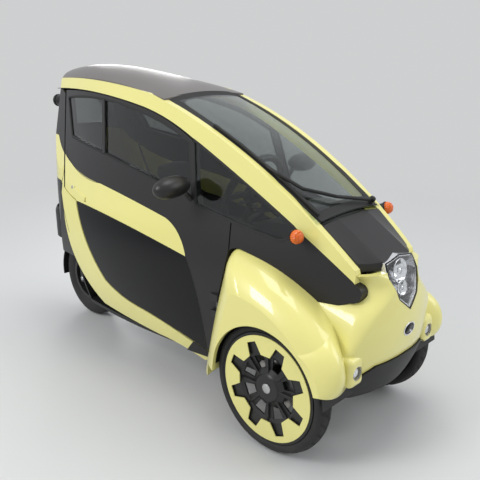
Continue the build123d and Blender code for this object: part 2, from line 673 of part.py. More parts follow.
def tyre(radius, width, rim_radius):
    half = width / 2
    bead, heel, fat, shoulder = rim_radius + 2, rim_radius + 12, (radius + rim_radius) / 2, radius - 9
    edges = [
        Line((bead, half * 0.77), (heel, half * 0.77)),
        ThreePointArc((heel, half * 0.77), (fat, half), (shoulder, half * 0.72)),
        ThreePointArc((shoulder, half * 0.72), (radius, 0), (shoulder, -half * 0.72)),
        ThreePointArc((shoulder, -half * 0.72), (fat, -half), (heel, -half * 0.77)),
        Line((heel, -half * 0.77), (bead, -half * 0.77)),
        Line((bead, -half * 0.77), (bead, -half * 0.5)),
        ThreePointArc((bead, -half * 0.5), (radius - 14, 0), (bead, half * 0.5)),
        Line((bead, half * 0.5), (bead, half * 0.77)),
    ]
    section = Plane(origin=(0, 0, 0), x_dir=(1, 0, 0), z_dir=(0, -1, 0)) * make_face(Wire(edges))
    return revolve(section, Axis.Z, 360)


def rim_barrel(rim_radius, width):
    half = width / 2
    flange, lip = half * 0.79, half * 0.9
    return wheel_section([(rim_radius - 8, -lip), (rim_radius + 11, -lip), (rim_radius + 11, -flange),
                          (rim_radius + 1.8, -flange), (rim_radius + 1.8, flange),
                          (rim_radius + 11, flange), (rim_radius + 11, lip), (rim_radius - 8, lip)])


def tooth_points(tip_r, valley_r, tip_half, foot_half):
    points = []
    for tooth in range(COVER_TEETH):
        angle = 2 * math.pi * (tooth + 0.5) / COVER_TEETH
        for radius, half in ((valley_r, -foot_half), (tip_r, -tip_half), (tip_r, tip_half),
                             (valley_r, foot_half)):
            x, y = radius, half
            points.append((x * math.cos(angle) - y * math.sin(angle),
                           x * math.sin(angle) + y * math.cos(angle)))
    return points


def front_rim():
    """Barrel, dished disc with a window behind each tooth of the cover, hub and brake disc."""
    body = rim_barrel(FRONT_RIM_R, FRONT_TYRE_WIDE)
    edge = FRONT_RIM_R - 4
    dish = wheel_section([(0, 34), (HUB_BOSS_R - 6, 34), (HUB_BOSS_R, 28), (WINDOW_INNER_R, 18),
                          (WINDOW_OUTER_R, 20), (COVER_VALLEY_R + 8, 27), (edge, 30), (edge, 24),
                          (COVER_VALLEY_R + 8, 21), (WINDOW_OUTER_R, 13), (WINDOW_INNER_R, 11),
                          (HUB_BOSS_R - 6, 20), (0, 20)])
    for tooth in range(COVER_TEETH):
        turn = Rot(0, 0, 360 * (tooth + 0.5) / COVER_TEETH)
        window = make_face(Polyline((WINDOW_INNER_R, -15), (WINDOW_OUTER_R, -26), (WINDOW_OUTER_R, 26),
                                    (WINDOW_INNER_R, 15), close=True))
        dish = dish - turn * extrude(window, amount=60, dir=(0, 0, 1))
    body = body + dish + Cylinder(44, 60) + Pos(0, 0, -22) * Cylinder(98, 4)
    for rib in range(COVER_TEETH):
        spine = Pos((HUB_BOSS_R + COVER_VALLEY_R) / 2, 0, 20) * Box(COVER_VALLEY_R - HUB_BOSS_R + 10, 8, 14)
        body = body + Rot(0, 0, 360 * rib / COVER_TEETH) * spine
    bore = Pos(0, 0, -15) * Cylinder(AXLE_R + RUNNING_GAP, 64)
    return body - bore


def wheel_cover():
    half = FRONT_TYRE_WIDE / 2
    seat = half * 0.9
    disc = Pos(0, 0, (seat + half) / 2) * Cylinder(FRONT_RIM_R + 1, half - seat)
    opening = make_face(Polyline(*tooth_points(COVER_TOOTH_TIP_R, COVER_VALLEY_R, 22, 31), close=True))
    return disc - extrude(opening, amount=100, dir=(0, 0, 1))


def rear_rim():
    body = rim_barrel(REAR_RIM_R, REAR_TYRE_WIDE)
    body = body + Cylinder(34, 116)
    for spoke in range(5):
        body = body + Rot(0, 0, 72 * spoke) * Pos(77, 0, 0) * Box(100, 26, 30)
    return body - Cylinder(AXLE_R + RUNNING_GAP, 200)


def on_front_axle(shape, side):
    turn = Plane(origin=(FRONT_AXLE_X, side * WHEEL_Y, FRONT_TYRE_R), x_dir=(1, 0, 0), z_dir=(0, side, 0))
    return turn * shape


def on_rear_axle(shape):
    return Plane(origin=(REAR_AXLE_X, 0, REAR_TYRE_R), x_dir=(1, 0, 0), z_dir=(0, -1, 0)) * shape


def rear_fork():
    crown = block(REAR_AXLE_X - 45, REAR_AXLE_X + 45, -86, 86, 480, 494)
    body = crown + Pos(REAR_AXLE_X, 0, 530) * Cylinder(STEER_PIN_R, 80)
    for side in (-1, 1):
        y0, y1 = sorted((side * 70, side * 86))
        body = body + block(REAR_AXLE_X - 26, REAR_AXLE_X + 26, y0, y1, REAR_TYRE_R - 26, 490)
    body = body + rod((REAR_AXLE_X, -86, REAR_TYRE_R), (REAR_AXLE_X, 86, REAR_TYRE_R), AXLE_R)
    guard = Cylinder(REAR_TYRE_R + 14, 132) - Cylinder(REAR_TYRE_R + 8, 140)
    guard = on_rear_axle(guard) & block(-1200, REAR_AXLE_X + 30, -70, 70, REAR_TYRE_R - 30, 500)
    return body + guard


def rear_guard():
    """Fixed cover over the rear wheel, under the rear shell."""
    outer = Pos(-905, 0, 597) * Cylinder(188, 195)
    outer = fillet(outer.edges().sort_by(Axis.Z)[-1], 60)
    inner = Pos(-905, 0, 580) * Cylinder(176, 204)
    bracket = block(-LENGTH / 2, -1080, -40, 40, 505, 517)
    guard = largest((outer - inner - body_form(0)) + (bracket - inner - body_form(0)))
    for side in (-1, 1):
        guard = guard - Pos(BRACKET_X, side * BRACKET_SPACING / 2, 511) * Cylinder(BRACKET_HOLE_R, 20)
    return guard


def turn_signals():
    lenses, stalks = [], []
    for side in (-1, 1):
        lenses.append(Pos(877, side * 301, 851) * Rot(90, 0, 0) * Sphere(27))
        root = Vector(792, side * 215, 838)
        tip = Vector(877, side * 301, 851)
        run = tip - root
        stalk = Plane(origin=root + run * 0.5, z_dir=run.normalized()) * Cone(12, 24, run.length)
        stalks.append(stalk - body_form(0) - Pos(*tip) * Sphere(27))
    return Compound(lenses), Compound([largest(stalk) for stalk in stalks])


def rear_lamps():
    lamps = []
    for side in (-1, 1):
        lamp = rod((-900, side * 140, 1262), (-800, side * 140, 1262), 32) - body_form(0)
        lamps.append(largest(lamp))
    return Compound(lamps)


def wheel_room():
    """Space of both front wheels with their clearance, which the front pieces leave free."""
    room = []
    for side in (-1, 1):
        wheel = Plane(origin=(FRONT_AXLE_X, side * (WHEEL_Y + 2), FRONT_TYRE_R), z_dir=(0, side, 0))
        room.append(wheel * Cylinder(FRONT_TYRE_R + 8, FRONT_TYRE_WIDE + 16))
    return Compound(room)


def wiper():
    """Arm from a pivot at the left end of the screen's foot, and a blade up the right side."""
    arm = [(0.985, 7.5, 22), (0.93, -2.5, 25), (0.84, -8.0, 23), (0.72, -9.6, 18), (0.66, -9.7, 9)]
    blade = [(0.97, -9.2, 8), (0.80, -9.5, 8), (0.66, -9.7, 8), (0.49, -9.95, 8), (0.32, -10.2, 8)]
    body = rod(glass_point(0.985, 7.5, -6), glass_point(0.985, 7.5, 30), 11)
    for path, radius in ((arm, 7), (blade, 5)):
        points = [glass_point(*step) for step in path]
        for here, there in zip(points, points[1:]):
            body = body + rod(here, there, radius) + Pos(*there) * Sphere(radius)
    return largest(body - windscreen_solid() - hood())


def main():
    os.makedirs("parts", exist_ok=True)
    parts = {}
    roof = roof_solid()
    glass = windscreen_solid() - roof
    parts["roof"] = roof
    parts["windscreen"] = glass
    rail_pair = rails(roof, glass)
    parts["rails"] = rail_pair
    bonnet = hood() - rail_pair
    parts["hood"] = bonnet
    room = wheel_room()
    panel = side_panel()
    beside = both(panel) + rail_pair
    tub_room = block(360, TUB_FRONT_X, -TUB_HALF - SEAT_GAP, TUB_HALF + SEAT_GAP, FLOOR_Z, TUB_TOP_Z)
    parts["nose"] = largest(nose() - [bonnet, beside, Pos(SEAM, 0, -SEAM) * beside, room, tub_room])
    parts["fog_lamps"] = fog_lamps()
    parts["headlamp_lens"] = headlamp_lens() - bonnet
    parts["headlamp_housing"] = headlamp_housing() - bonnet
    parts["front_bumper"] = largest(front_bumper() - parts["nose"] - room)
    parts["side_panels"] = both(panel)
    band = lower_band()
    fender = largest(fender_side(parts["nose"], parts["front_bumper"], panel) - band)
    bore = Pos(DOOR_HINGE_X, -DOOR_HINGE_Y, 500) * Cylinder(DOOR_PIN_R + RUNNING_GAP, 41)
    pocket = Pos(DOOR_HINGE_X, -DOOR_HINGE_Y, 500) * Cylinder(LEAF_SWING_R, 110)
    pocket = pocket + block(460, DOOR_HINGE_X, -DOOR_HINGE_Y - 14, -DOOR_HINGE_Y + 20, 445, 555)
    fender = (fender - pocket) + fender_knuckle() - bore
    parts["fenders"] = both(largest(fender))
    parts["lower_bands"] = both(band)
    shell, window = rear_shell(parts["lower_bands"])
    parts["rear_shell"] = largest(shell - rail_pair - steer_bearing())
    rear_pane = (body_form(GLASS_DEPTH) - body_form(GLASS_DEPTH + GLASS_THICK)) & window
    quarter = quarter_glass()
    parts["fixed_glass"] = Compound([quarter, mirror(quarter, about=Plane.XZ), largest(rear_pane)])
    for name, shape in door_parts().items():
        parts[f"door_{name}_right"] = shape
        parts[f"door_{name}_left"] = mirror(shape, about=Plane.XZ)
    pod = mirror_pod()
    parts["mirror_right"] = pod
    parts["mirror_left"] = mirror(pod, about=Plane.XZ)
    parts["floor_tub"] = floor_tub()
    parts["battery_block"] = battery_block()
    parts["seat_front"] = seat(-60, 330, -20, 1000, 170, 485)
    parts["seat_rear"] = seat(-510, -210, -470, 940, 165, 470)
    dash = largest(dashboard() - [parts["fenders"], parts["nose"]])
    parts["dashboard"] = dash
    parts["steering_column"] = steering_column(dash)
    parts["steering_wheel"] = steering_wheel()
    parts["pedals"] = pedals()
    parts["front_suspension"] = both(front_suspension())
    for name, side in (("right", -1), ("left", 1)):
        rubber = tyre(FRONT_TYRE_R, FRONT_TYRE_WIDE, FRONT_RIM_R)
        parts[f"front_tyre_{name}"] = on_front_axle(rubber, side)
        parts[f"front_rim_{name}"] = on_front_axle(front_rim(), side)
        parts[f"front_cover_{name}"] = on_front_axle(wheel_cover(), side)
    parts["rear_tyre"] = on_rear_axle(tyre(REAR_TYRE_R, REAR_TYRE_WIDE, REAR_RIM_R))
    parts["rear_rim"] = on_rear_axle(rear_rim())
    parts["rear_fork"] = rear_fork()
    parts["rear_guard"] = rear_guard()
    parts["turn_signals"], parts["signal_stalks"] = turn_signals()
    parts["rear_lamps"] = rear_lamps()
    parts["wiper"] = wiper()
    for name, shape in parts.items():
        export_step(shape, f"parts/{name}.step")


if __name__ == "__main__":
    main()
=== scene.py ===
import json
import math

import bmesh
import bpy
from mathutils import Matrix, Vector


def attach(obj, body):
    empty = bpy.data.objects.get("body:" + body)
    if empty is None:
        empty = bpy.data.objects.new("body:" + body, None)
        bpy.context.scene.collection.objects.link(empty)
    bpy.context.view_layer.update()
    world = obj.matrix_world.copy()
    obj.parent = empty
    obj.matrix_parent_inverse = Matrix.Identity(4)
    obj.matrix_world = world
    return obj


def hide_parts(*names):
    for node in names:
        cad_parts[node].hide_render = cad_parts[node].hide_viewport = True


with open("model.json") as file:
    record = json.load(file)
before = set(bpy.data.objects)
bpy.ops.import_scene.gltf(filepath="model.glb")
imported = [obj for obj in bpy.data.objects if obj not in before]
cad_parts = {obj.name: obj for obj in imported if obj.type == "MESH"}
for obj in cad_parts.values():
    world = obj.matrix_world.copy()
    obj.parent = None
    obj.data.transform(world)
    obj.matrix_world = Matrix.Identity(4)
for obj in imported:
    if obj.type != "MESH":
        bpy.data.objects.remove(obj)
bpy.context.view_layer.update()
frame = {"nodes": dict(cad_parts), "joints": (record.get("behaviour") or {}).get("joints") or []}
nodes = frame["nodes"]
joints = {joint["name"]: joint for joint in frame["joints"]}

# Metres, in the car's own frame: +X forward, +Y left, +Z up
RIGHT, LEFT = -1, 1
SIDES = {"right": RIGHT, "left": LEFT}

# Body side, the same surface that the panels are cut from
PLAN_RADIUS = 4.0
WIDEST_X = -0.06
SHOULDER_Z = 0.8
SHOULDER_HALF = 0.35
LEAN = 0.2
TUCK_RADIUS = 1.1
GLASS_DEPTH = 0.005

# Windscreen: middle line from the header to the foot, and the radius across
SCREEN_TOP = (0.106, 1.321)
SCREEN_MIDDLE = (0.516, 1.144)
SCREEN_FOOT = (0.905, 0.896)
SCREEN_CROWN = 1.1

# Wheels
FRONT_TYRE_RADIUS = 0.265
FRONT_TYRE_WIDTH = 0.080
FRONT_RIM_RADIUS = 0.210
REAR_TYRE_RADIUS = 0.235
REAR_TYRE_WIDTH = 0.120
REAR_RIM_RADIUS = 0.127

# Nose: upright axis, reach at the badge place, its height and the bend up and down
NOSE_CENTRE_X = 0.595
NOSE_REACH = 0.580
NOSE_FULL_Z = 0.520
NOSE_BEND = 0.540

# Headlamp: bulbs as name, place and bowl radius, and the lens's outline on the nose as (y, z)
HEADLAMP_BULBS = (("upper", (1.115, 0.0, 0.703), 0.043), ("lower", (1.128, 0.0, 0.640), 0.028))
HEADLAMP_AIM = (1, 0, 0.12)
LAMP_EDGE = [(-0.091, 0.750), (0.0, 0.766), (0.091, 0.750), (0.100, 0.700), (0.062, 0.616), (0.0, 0.566),
             (-0.062, 0.616), (-0.100, 0.700)]
LAMP_MIDDLE_Z = 0.675

# Fittings on both sides: x, distance from the middle plane, z
FOG_LAMP_PLACE = (1.115, 0.257, 0.385)
REAR_LAMP_PLACE = (-0.900, 0.140, 1.262)
TURN_LENS_PLACE = (0.877, 0.301, 0.851)
TURN_LENS_AIM = (1.0, 0.30, 0.06)
VENT_PLACE = (0.601, 0.190, 0.790)
MIRROR_PLACE = (0.338, 0.412, 0.979)

# Mirror pod: half its length, and where its flat back is cut
MIRROR_HALF = 0.088
MIRROR_BACK = 0.319

# Badge place on the nose: its height and its half axes
BADGE_Z = 0.490
BADGE_HALF_WIDTH = 0.036
BADGE_HALF_HEIGHT = 0.024

# Lining of the front wheel arches
ARCH_RADIUS = 0.2724
ARCH_MIDDLE_Y = 0.306
ARCH_WIDTH = 0.196

# Front wheel cover's screws and steering wheel's rim
COVER_SCREWS = 8
COVER_SCREW_RING = 0.142
HAND_WHEEL_RADIUS = 0.165
GRIP_RADIUS = 0.0158

# Roof's rear end and the joint of the rails behind it
ROOF_END_TOP_Z = 1.4095
ROOF_END_DROP = 0.0300
ROOF_END_HALF = 0.116
ROOF_END_FOOT_Z = 1.372
RAIL_JOINT_X = -0.8762
RAIL_JOINT_Z = 1.3535
RAIL_JOINT_HALF = 0.0196

# Seats: name, front and rear of the cushion, its top, the back's foot (x, z), lean, height, half width.
# Belt: share of the back's height and place across. A pad's point moves no further than its swell.
SEATS = (("front", 0.322, -0.050, 0.476, (-0.063, 0.450), 0.1277, 0.540, 0.160),
         ("rear", -0.218, -0.500, 0.462, (-0.515, 0.436), 0.1390, 0.495, 0.154))
CUSHION_FOOT_Z = 0.402
INSERT_SEAMS = (-0.048, -0.016, 0.016, 0.048)
BELT_STOPS = ((0.99, 0.120), (0.8, 0.075), (0.6, 0.020), (0.4, -0.045), (0.2, -0.105), (0.08, -0.140))
PAD_SWELL = 0.006

# Camera, as the photograph was taken
CAMERA_PLACE = Vector((2.2365, -2.0040, 1.4543))
CAMERA_HEADING = 2.3365
CAMERA_DOWN = 0.2748
CAMERA_TILT = -0.0142
CAMERA_LENS = 47.75
SKY_STRENGTH = 0.78
BACKGROUND = (0.62, 0.625, 0.63)

# Lamps: name, place, aim, width of the panel, watts
LAMPS = [("Side", (-0.5, -3.8, 3.4), (0.0, 0.0, 0.6), 1.6, 88.0),
         ("Front", (3.6, 2.2, 3.0), (0.4, 0.0, 0.5), 2.6, 46.0),
         ("Top", (0.9, 0.2, 4.4), (0.4, 0.0, 0.6), 2.0, 46.0),
         ("Rear", (-4.6, 3.3, 2.2), (-0.8, 0.0, 1.4), 1.6, 42.0)]

# Radius that every edge shows, threads of the seats' cloth, and the painted shade that hides the hinges'
# pocket
EDGE_RADIUS = 0.0016
THREAD_SCALE = 520.0
HINGE_POCKET_SHADE = (0.010, 0.010, 0.0105, 1)
HINGE_LOW = (0.470, 0.300, 0.440)
HINGE_HIGH = (0.545, 0.3475, 0.560)


# Node groups


def new_group(name, inputs, outputs):
    """Shader group with named sockets: inputs are (label, kind, value) and outputs (label, kind)."""
    tree = bpy.data.node_groups.new(name, "ShaderNodeTree")
    for label, kind, value in inputs:
        socket = tree.interface.new_socket(label, in_out="INPUT", socket_type=kind)
        socket.default_value = value
    for label, kind in outputs:
        tree.interface.new_socket(label, in_out="OUTPUT", socket_type=kind)
    return tree, tree.nodes.new("NodeGroupInput"), tree.nodes.new("NodeGroupOutput")


def node(tree, kind, **settings):
    """Shader node with its settings; a setting that starts with in_ is an input socket's value."""
    made = tree.nodes.new("ShaderNode" + kind)
    for key, value in settings.items():
        if key.startswith("in_"):
            made.inputs[key[3:].replace("_", " ")].default_value = value
        else:
            setattr(made, key, value)
    return made


def wire(tree, *wires):
    """Join sockets: each wire is a node, its output, the next node and that one's input."""
    for start, out, end, into in wires:
        tree.links.new(start.outputs[out], end.inputs[into])


def make_grain_group():
    """Fine cast or sprayed texture: small bumps, and slow drift of colour and roughness."""
    tree, entry, leave = new_group(
        "Surface grain",
        [("Color", "NodeSocketColor", (0.5, 0.5, 0.5, 1)), ("Roughness", "NodeSocketFloat", 0.5),
         ("Scale", "NodeSocketFloat", 900.0), ("Bump", "NodeSocketFloat", 0.1),
         ("Drift", "NodeSocketFloat", 0.1)],
        [("Color", "NodeSocketColor"), ("Roughness", "NodeSocketFloat"), ("Normal", "NodeSocketVector")])
    place = node(tree, "TexCoord")
    edge = node(tree, "Bevel", samples=4, in_Radius=EDGE_RADIUS)
    fine = node(tree, "TexNoise", in_Detail=3.0)
    slow = node(tree, "TexNoise", in_Scale=7.0, in_Detail=4.0)
    bump = node(tree, "Bump", in_Distance=0.0004)
    shade = node(tree, "MapRange", in_To_Min=-1.0, in_To_Max=1.0)
    swing = node(tree, "Math", operation="MULTIPLY")
    value = node(tree, "Math", operation="ADD", in_Value=1.0)
    tint = node(tree, "VectorMath", operation="SCALE")
    rough_swing = node(tree, "Math", operation="MULTIPLY_ADD")
    rough_swing.inputs[1].default_value = 0.6
    wire(tree, (place, "Object", fine, "Vector"), (place, "Object", slow, "Vector"),
         (entry, "Scale", fine, "Scale"), (fine, "Fac", bump, "Height"),
         (edge, "Normal", bump, "Normal"), (entry, "Bump", bump, "Strength"),
         (slow, "Fac", shade, "Value"), (shade, "Result", swing, 0), (entry, "Drift", swing, 1),
         (swing, 0, value, 1), (entry, "Color", tint, 0), (value, 0, tint, "Scale"),
         (swing, 0, rough_swing, 0), (entry, "Roughness", rough_swing, 2),
         (tint, 0, leave, "Color"), (rough_swing, 0, leave, "Roughness"),
         (bump, "Normal", leave, "Normal"))
    return tree


def make_dust_group():
    """Road dust that gathers low down and thins out upwards."""
    tree, entry, leave = new_group(
        "Road dust",
        [("Color", "NodeSocketColor", (0.5, 0.5, 0.5, 1)), ("Amount", "NodeSocketFloat", 0.2),
         ("Height", "NodeSocketFloat", 0.4)],
        [("Color", "NodeSocketColor"), ("Mask", "NodeSocketFloat")])
    place = node(tree, "TexCoord")
    parts = node(tree, "SeparateXYZ")
    low = node(tree, "MapRange", in_From_Min=0.0, in_To_Min=1.0, in_To_Max=0.0)
    patches = node(tree, "TexNoise", in_Scale=11.0, in_Detail=6.0)
    spread = node(tree, "Math", operation="MULTIPLY")
    amount = node(tree, "Math", operation="MULTIPLY")
    mix = node(tree, "Mix", data_type="RGBA")
    mix.inputs["B"].default_value = (0.32, 0.30, 0.27, 1)
    wire(tree, (place, "Object", parts, 0), (place, "Object", patches, "Vector"),
         (parts, "Z", low, "Value"), (entry, "Height", low, "From Max"), (low, "Result", spread, 0),
         (patches, "Fac", spread, 1), (spread, 0, amount, 0), (entry, "Amount", amount, 1),
         (amount, 0, mix, "Factor"), (entry, "Color", mix, "A"), (mix, "Result", leave, "Color"),
         (amount, 0, leave, "Mask"))
    return tree


GRAIN = make_grain_group()
DUST = make_dust_group()


# Materials


def new_material(name, **sockets):
    """Material with constant values on its Principled shader's sockets."""
    material = bpy.data.materials.new(name)
    material.use_nodes = True
    tree = material.node_tree
    shader = tree.nodes["Principled BSDF"]
    for label, value in sockets.items():
        shader.inputs[label.replace("_", " ")].default_value = value
    return material, tree, shader


def choose_shader(tree, factor, first, second, output):
    """Mix two shaders by a factor and lead them to an output node."""
    choose = node(tree, "MixShader")
    tree.links.new(factor, choose.inputs["Fac"])
    wire(tree, (first, 0, choose, 1), (second, 0, choose, 2), (choose, 0, tree.nodes[output], "Surface"))


def finish_of(name, color, roughness, grain=(900.0, 0.1, 0.08), dust=None, **sockets):
    """Finish with the grain group as scale, bump and drift, and dust as amount and height where asked."""
    material, tree, shader = new_material(name, **sockets)
    scale, bump, drift = grain
    surface = node(tree, "Group", node_tree=GRAIN, in_Color=(*color, 1), in_Roughness=roughness,
                   in_Scale=scale, in_Bump=bump, in_Drift=drift)
    painted = surface
    if dust:
        amount, height = dust
        painted = node(tree, "Group", node_tree=DUST, in_Amount=amount, in_Height=height)
        wire(tree, (surface, "Color", painted, "Color"))
    wire(tree, (painted, "Color", shader, "Base Color"), (surface, "Roughness", shader, "Roughness"),
         (surface, "Normal", shader, "Normal"))
    return material


def glass_of(name, color):
    """Clear or tinted glass that lets light through to what is behind it."""
    material, tree, shader = new_material(name, Base_Color=(*color, 1), Roughness=0.0, IOR=1.45,
                                          Transmission_Weight=1.0)
    path = node(tree, "LightPath")
    clear = node(tree, "BsdfTransparent", in_Color=(*color, 1))
    choose_shader(tree, path.outputs["Is Shadow Ray"], shader, clear, "Material Output")
    return material


def woven(name, color):
    """Cloth of the seats: crossed threads with a soft sheen."""
    material, tree, shader = new_material(name, Roughness=0.85, Sheen_Weight=0.3)
    place = node(tree, "TexCoord")
    warp = node(tree, "TexWave", bands_direction="X", in_Scale=THREAD_SCALE, in_Distortion=0.4)
    weft = node(tree, "TexWave", bands_direction="Z", in_Scale=THREAD_SCALE, in_Distortion=0.4)
    both = node(tree, "Math", operation="MULTIPLY")
    ramp = node(tree, "MapRange", in_To_Min=0.65, in_To_Max=1.25)
    tint = node(tree, "VectorMath", operation="SCALE")
    tint.inputs[0].default_value = color
    bump = node(tree, "Bump", in_Strength=0.5, in_Distance=0.0006)
    wire(tree, (place, "Object", warp, "Vector"), (place, "Object", weft, "Vector"),
         (warp, "Fac", both, 0), (weft, "Fac", both, 1), (both, 0, ramp, "Value"),
         (ramp, "Result", tint, "Scale"), (tint, 0, shader, "Base Color"), (both, 0, bump, "Height"),
         (bump, "Normal", shader, "Normal"))
    return material


YELLOW = finish_of("Pale lemon enamel", (0.74, 0.69, 0.225), 0.34, (140.0, 0.02, 0.02), (0.15, 0.45),
                   Coat_Weight=0.8, Coat_Roughness=0.05)
CHARCOAL = finish_of("Satin charcoal", (0.0135, 0.0126, 0.0132), 0.36, (1600.0, 0.10, 0.05), (0.06, 0.4),
                     Specular_IOR_Level=0.42)
BRONZE_GREY = finish_of("Satin bronze grey", (0.170, 0.153, 0.143), 0.33, (1800.0, 0.08, 0.05),
                        Metallic=0.7)
GLOSS_BLACK = finish_of("Gloss black panel", (0.003, 0.003, 0.0035), 0.12, (60.0, 0.01, 0.1),
                        Specular_IOR_Level=0.25)
TRIM = finish_of("Grained black plastic", (0.0075, 0.0075, 0.008), 0.52, (1100.0, 0.35, 0.12),
                 (0.06, 0.4), Specular_IOR_Level=0.40)
CABIN_TRIM = finish_of("Soft cabin plastic", (0.030, 0.030, 0.032), 0.7, (1400.0, 0.4, 0.1))
RUBBER = finish_of("Seal rubber", (0.010, 0.010, 0.010), 0.7, (700.0, 0.15, 0.1))
TYRE = finish_of("Tyre rubber", (0.0075, 0.0075, 0.008), 0.66, (500.0, 0.25, 0.25), (0.10, 0.5),
                 Specular_IOR_Level=0.40)
WHEEL_BLACK = finish_of("Black wheel enamel", (0.009, 0.009, 0.0095), 0.36, (1200.0, 0.12, 0.08),
                        (0.06, 0.5), Specular_IOR_Level=0.42)
BRAKE_STEEL = finish_of("Turned brake steel", (0.42, 0.40, 0.38), 0.34, (700.0, 0.2, 0.2), Metallic=1.0)
CAST_METAL = finish_of("Cast metal", (0.24, 0.24, 0.24), 0.5, (420.0, 0.5, 0.15), (0.2, 0.5),
                       Metallic=0.9)
BRIGHT = finish_of("Bright trim", (0.78, 0.78, 0.80), 0.10, (300.0, 0.02, 0.02), Metallic=1.0)
REFLECTOR = finish_of("Lamp reflector", (0.80, 0.80, 0.82), 0.24, (300.0, 0.02, 0.03), Metallic=1.0)
SOFT_BRIGHT = finish_of("Satin metal trim", (0.5, 0.5, 0.5), 0.3, (900.0, 0.05, 0.05), Metallic=0.9)
ORANGE = finish_of("Orange lens", (0.70, 0.125, 0.003), 0.20, (200.0, 0.05, 0.1), Coat_Weight=0.25)
RED_LENS = finish_of("Dark red lens", (0.13, 0.005, 0.005), 0.12, (200.0, 0.05, 0.1), Coat_Weight=0.8)
TINTED = glass_of("Tinted door glass", (0.33, 0.35, 0.34))
SCREEN = glass_of("Windscreen glass", (0.72, 0.78, 0.76))
CLEAR = glass_of("Lamp glass", (0.97, 0.98, 0.98))
CLOTH = woven("Dark woven cloth", (0.030, 0.030, 0.033))
CLOTH_LIGHT = woven("Light woven cloth", (0.10, 0.105, 0.11))
MIRROR = finish_of("Mirror glass", (0.82, 0.84, 0.85), 0.012, (100.0, 0.002, 0.01), Metallic=1.0)


def shade_painted_inside(material, name, low, high):
    """Copy of a finish with painted shade: its colour turns dark inside a box on each side, given by its
    low and high corners.
    """
    copied = material.copy()
    copied.name = name
    tree = copied.node_tree
    shader = tree.nodes["Principled BSDF"]
    painted = shader.inputs["Base Color"].links[0].from_socket
    place = node(tree, "TexCoord")
    parts = node(tree, "SeparateXYZ")
    aside = node(tree, "Math", operation="ABSOLUTE")
    wire(tree, (place, "Object", parts, 0), (parts, "Y", aside, 0))
    tests = []
    for along, least, most in zip((parts.outputs["X"], aside.outputs[0], parts.outputs["Z"]), low, high):
        for limit, operation in ((least, "GREATER_THAN"), (most, "LESS_THAN")):
            test = node(tree, "Math", operation=operation)
            test.inputs[1].default_value = limit
            tree.links.new(along, test.inputs[0])
            tests.append(test.outputs[0])
    inside = tests[0]
    for test in tests[1:]:
        both = node(tree, "Math", operation="MULTIPLY")
        tree.links.new(inside, both.inputs[0])
        tree.links.new(test, both.inputs[1])
        inside = both.outputs[0]
    # Painted shade: inside the box the finish's colour gives way to the dark shade colour.
    mix = node(tree, "Mix", data_type="RGBA")
    mix.inputs["B"].default_value = HINGE_POCKET_SHADE
    tree.links.new(inside, mix.inputs["Factor"])
    tree.links.new(painted, mix.inputs["A"])
    tree.links.new(mix.outputs["Result"], shader.inputs["Base Color"])
    return copied


# The fenders' paint carries painted shade over the hinges' pocket near their rear edge.
FENDER_YELLOW_WITH_SHADE = shade_painted_inside(YELLOW, "Pale lemon enamel with painted hinge shade", HINGE_LOW, HINGE_HIGH)


def paint(material, *names):
    """Give CAD nodes their finish."""
    for name in names:
        data = nodes[name].data
        data.materials.clear()
        data.materials.append(material)


paint(FENDER_YELLOW_WITH_SHADE, "fenders")
paint(YELLOW, "rails", "nose", "lower_bands", "door_band_left", "door_band_right",
      "front_cover_left", "front_cover_right")
paint(CHARCOAL, "side_panels", "hood", "door_shell_left", "door_shell_right", "rear_shell",
      "mirror_left", "mirror_right")
paint(BRONZE_GREY, "roof")
paint(GLOSS_BLACK, "door_panel_left", "door_panel_right", "rear_lamps")
paint(TRIM, "front_bumper", "floor_tub", "rear_guard", "battery_block", "signal_stalks", "wiper")
paint(CABIN_TRIM, "dashboard", "steering_column", "steering_wheel", "pedals")
paint(WHEEL_BLACK, "front_rim_left", "front_rim_right", "rear_rim", "rear_fork")
paint(TYRE, "front_tyre_left", "front_tyre_right", "rear_tyre")
paint(CAST_METAL, "front_suspension")
paint(TINTED, "door_glass_left", "door_glass_right", "fixed_glass")
paint(SCREEN, "windscreen")
paint(CLEAR, "headlamp_lens", "fog_lamps")
paint(REFLECTOR, "headlamp_housing")
paint(ORANGE, "turn_signals")
paint(CLOTH, "seat_front", "seat_rear")


# Mesh making


def riding(name, data, material, body, smooth=True):
    """Piece of a mesh with its finish, riding on a body."""
    data.materials.append(material)
    if smooth:
        data.shade_smooth()
    piece = bpy.data.objects.new(name, data)
    bpy.context.scene.collection.objects.link(piece)
    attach(piece, body)
    return piece


def piece_from(name, verts, faces, material, body, smooth=True):
    """Piece of points and faces, riding on a body."""
    data = bpy.data.meshes.new(name)
    data.from_pydata([tuple(v) for v in verts], [], faces)
    data.validate()
    work = bmesh.new()
    work.from_mesh(data)
    bmesh.ops.recalc_face_normals(work, faces=work.faces)
    work.to_mesh(data)
    work.free()
    return riding(name, data, material, body, smooth)


def soften(piece, width):
    """Round the sharp edges of a piece."""
    bevel = piece.modifiers.new("Soft edges", "BEVEL")
    bevel.width = width
    bevel.segments = 2
    bevel.limit_method = "ANGLE"
    bevel.angle_limit = math.radians(35.0)
    bevel.harden_normals = True


def grid_faces(rows, columns, wrap_rows=False, wrap_columns=False):
    """Four-sided faces over rows of points; a wrapped grid closes on itself."""
    faces = []
    for row in range(rows if wrap_rows else rows - 1):
        for column in range(columns if wrap_columns else columns - 1):
            below, beside = (row + 1) % rows, (column + 1) % columns
            faces.append((row * columns + column, row * columns + beside,
                          below * columns + beside, below * columns + column))
    return faces


def two_layers(rows, columns):
    """Faces of a thin plate: two grids of points, one behind the other, closed round the rim."""
    count = rows * columns
    faces = grid_faces(rows, columns)
    faces += [tuple(count + number for number in face) for face in faces]
    rim = list(range(columns)) + [row * columns + columns - 1 for row in range(1, rows)]
    rim += [(rows - 1) * columns + column for column in range(columns - 2, -1, -1)]
    rim += [row * columns for row in range(rows - 2, 0, -1)]
    return faces + [(a, b, b + count, a + count) for a, b in zip(rim, rim[1:] + rim[:1])]


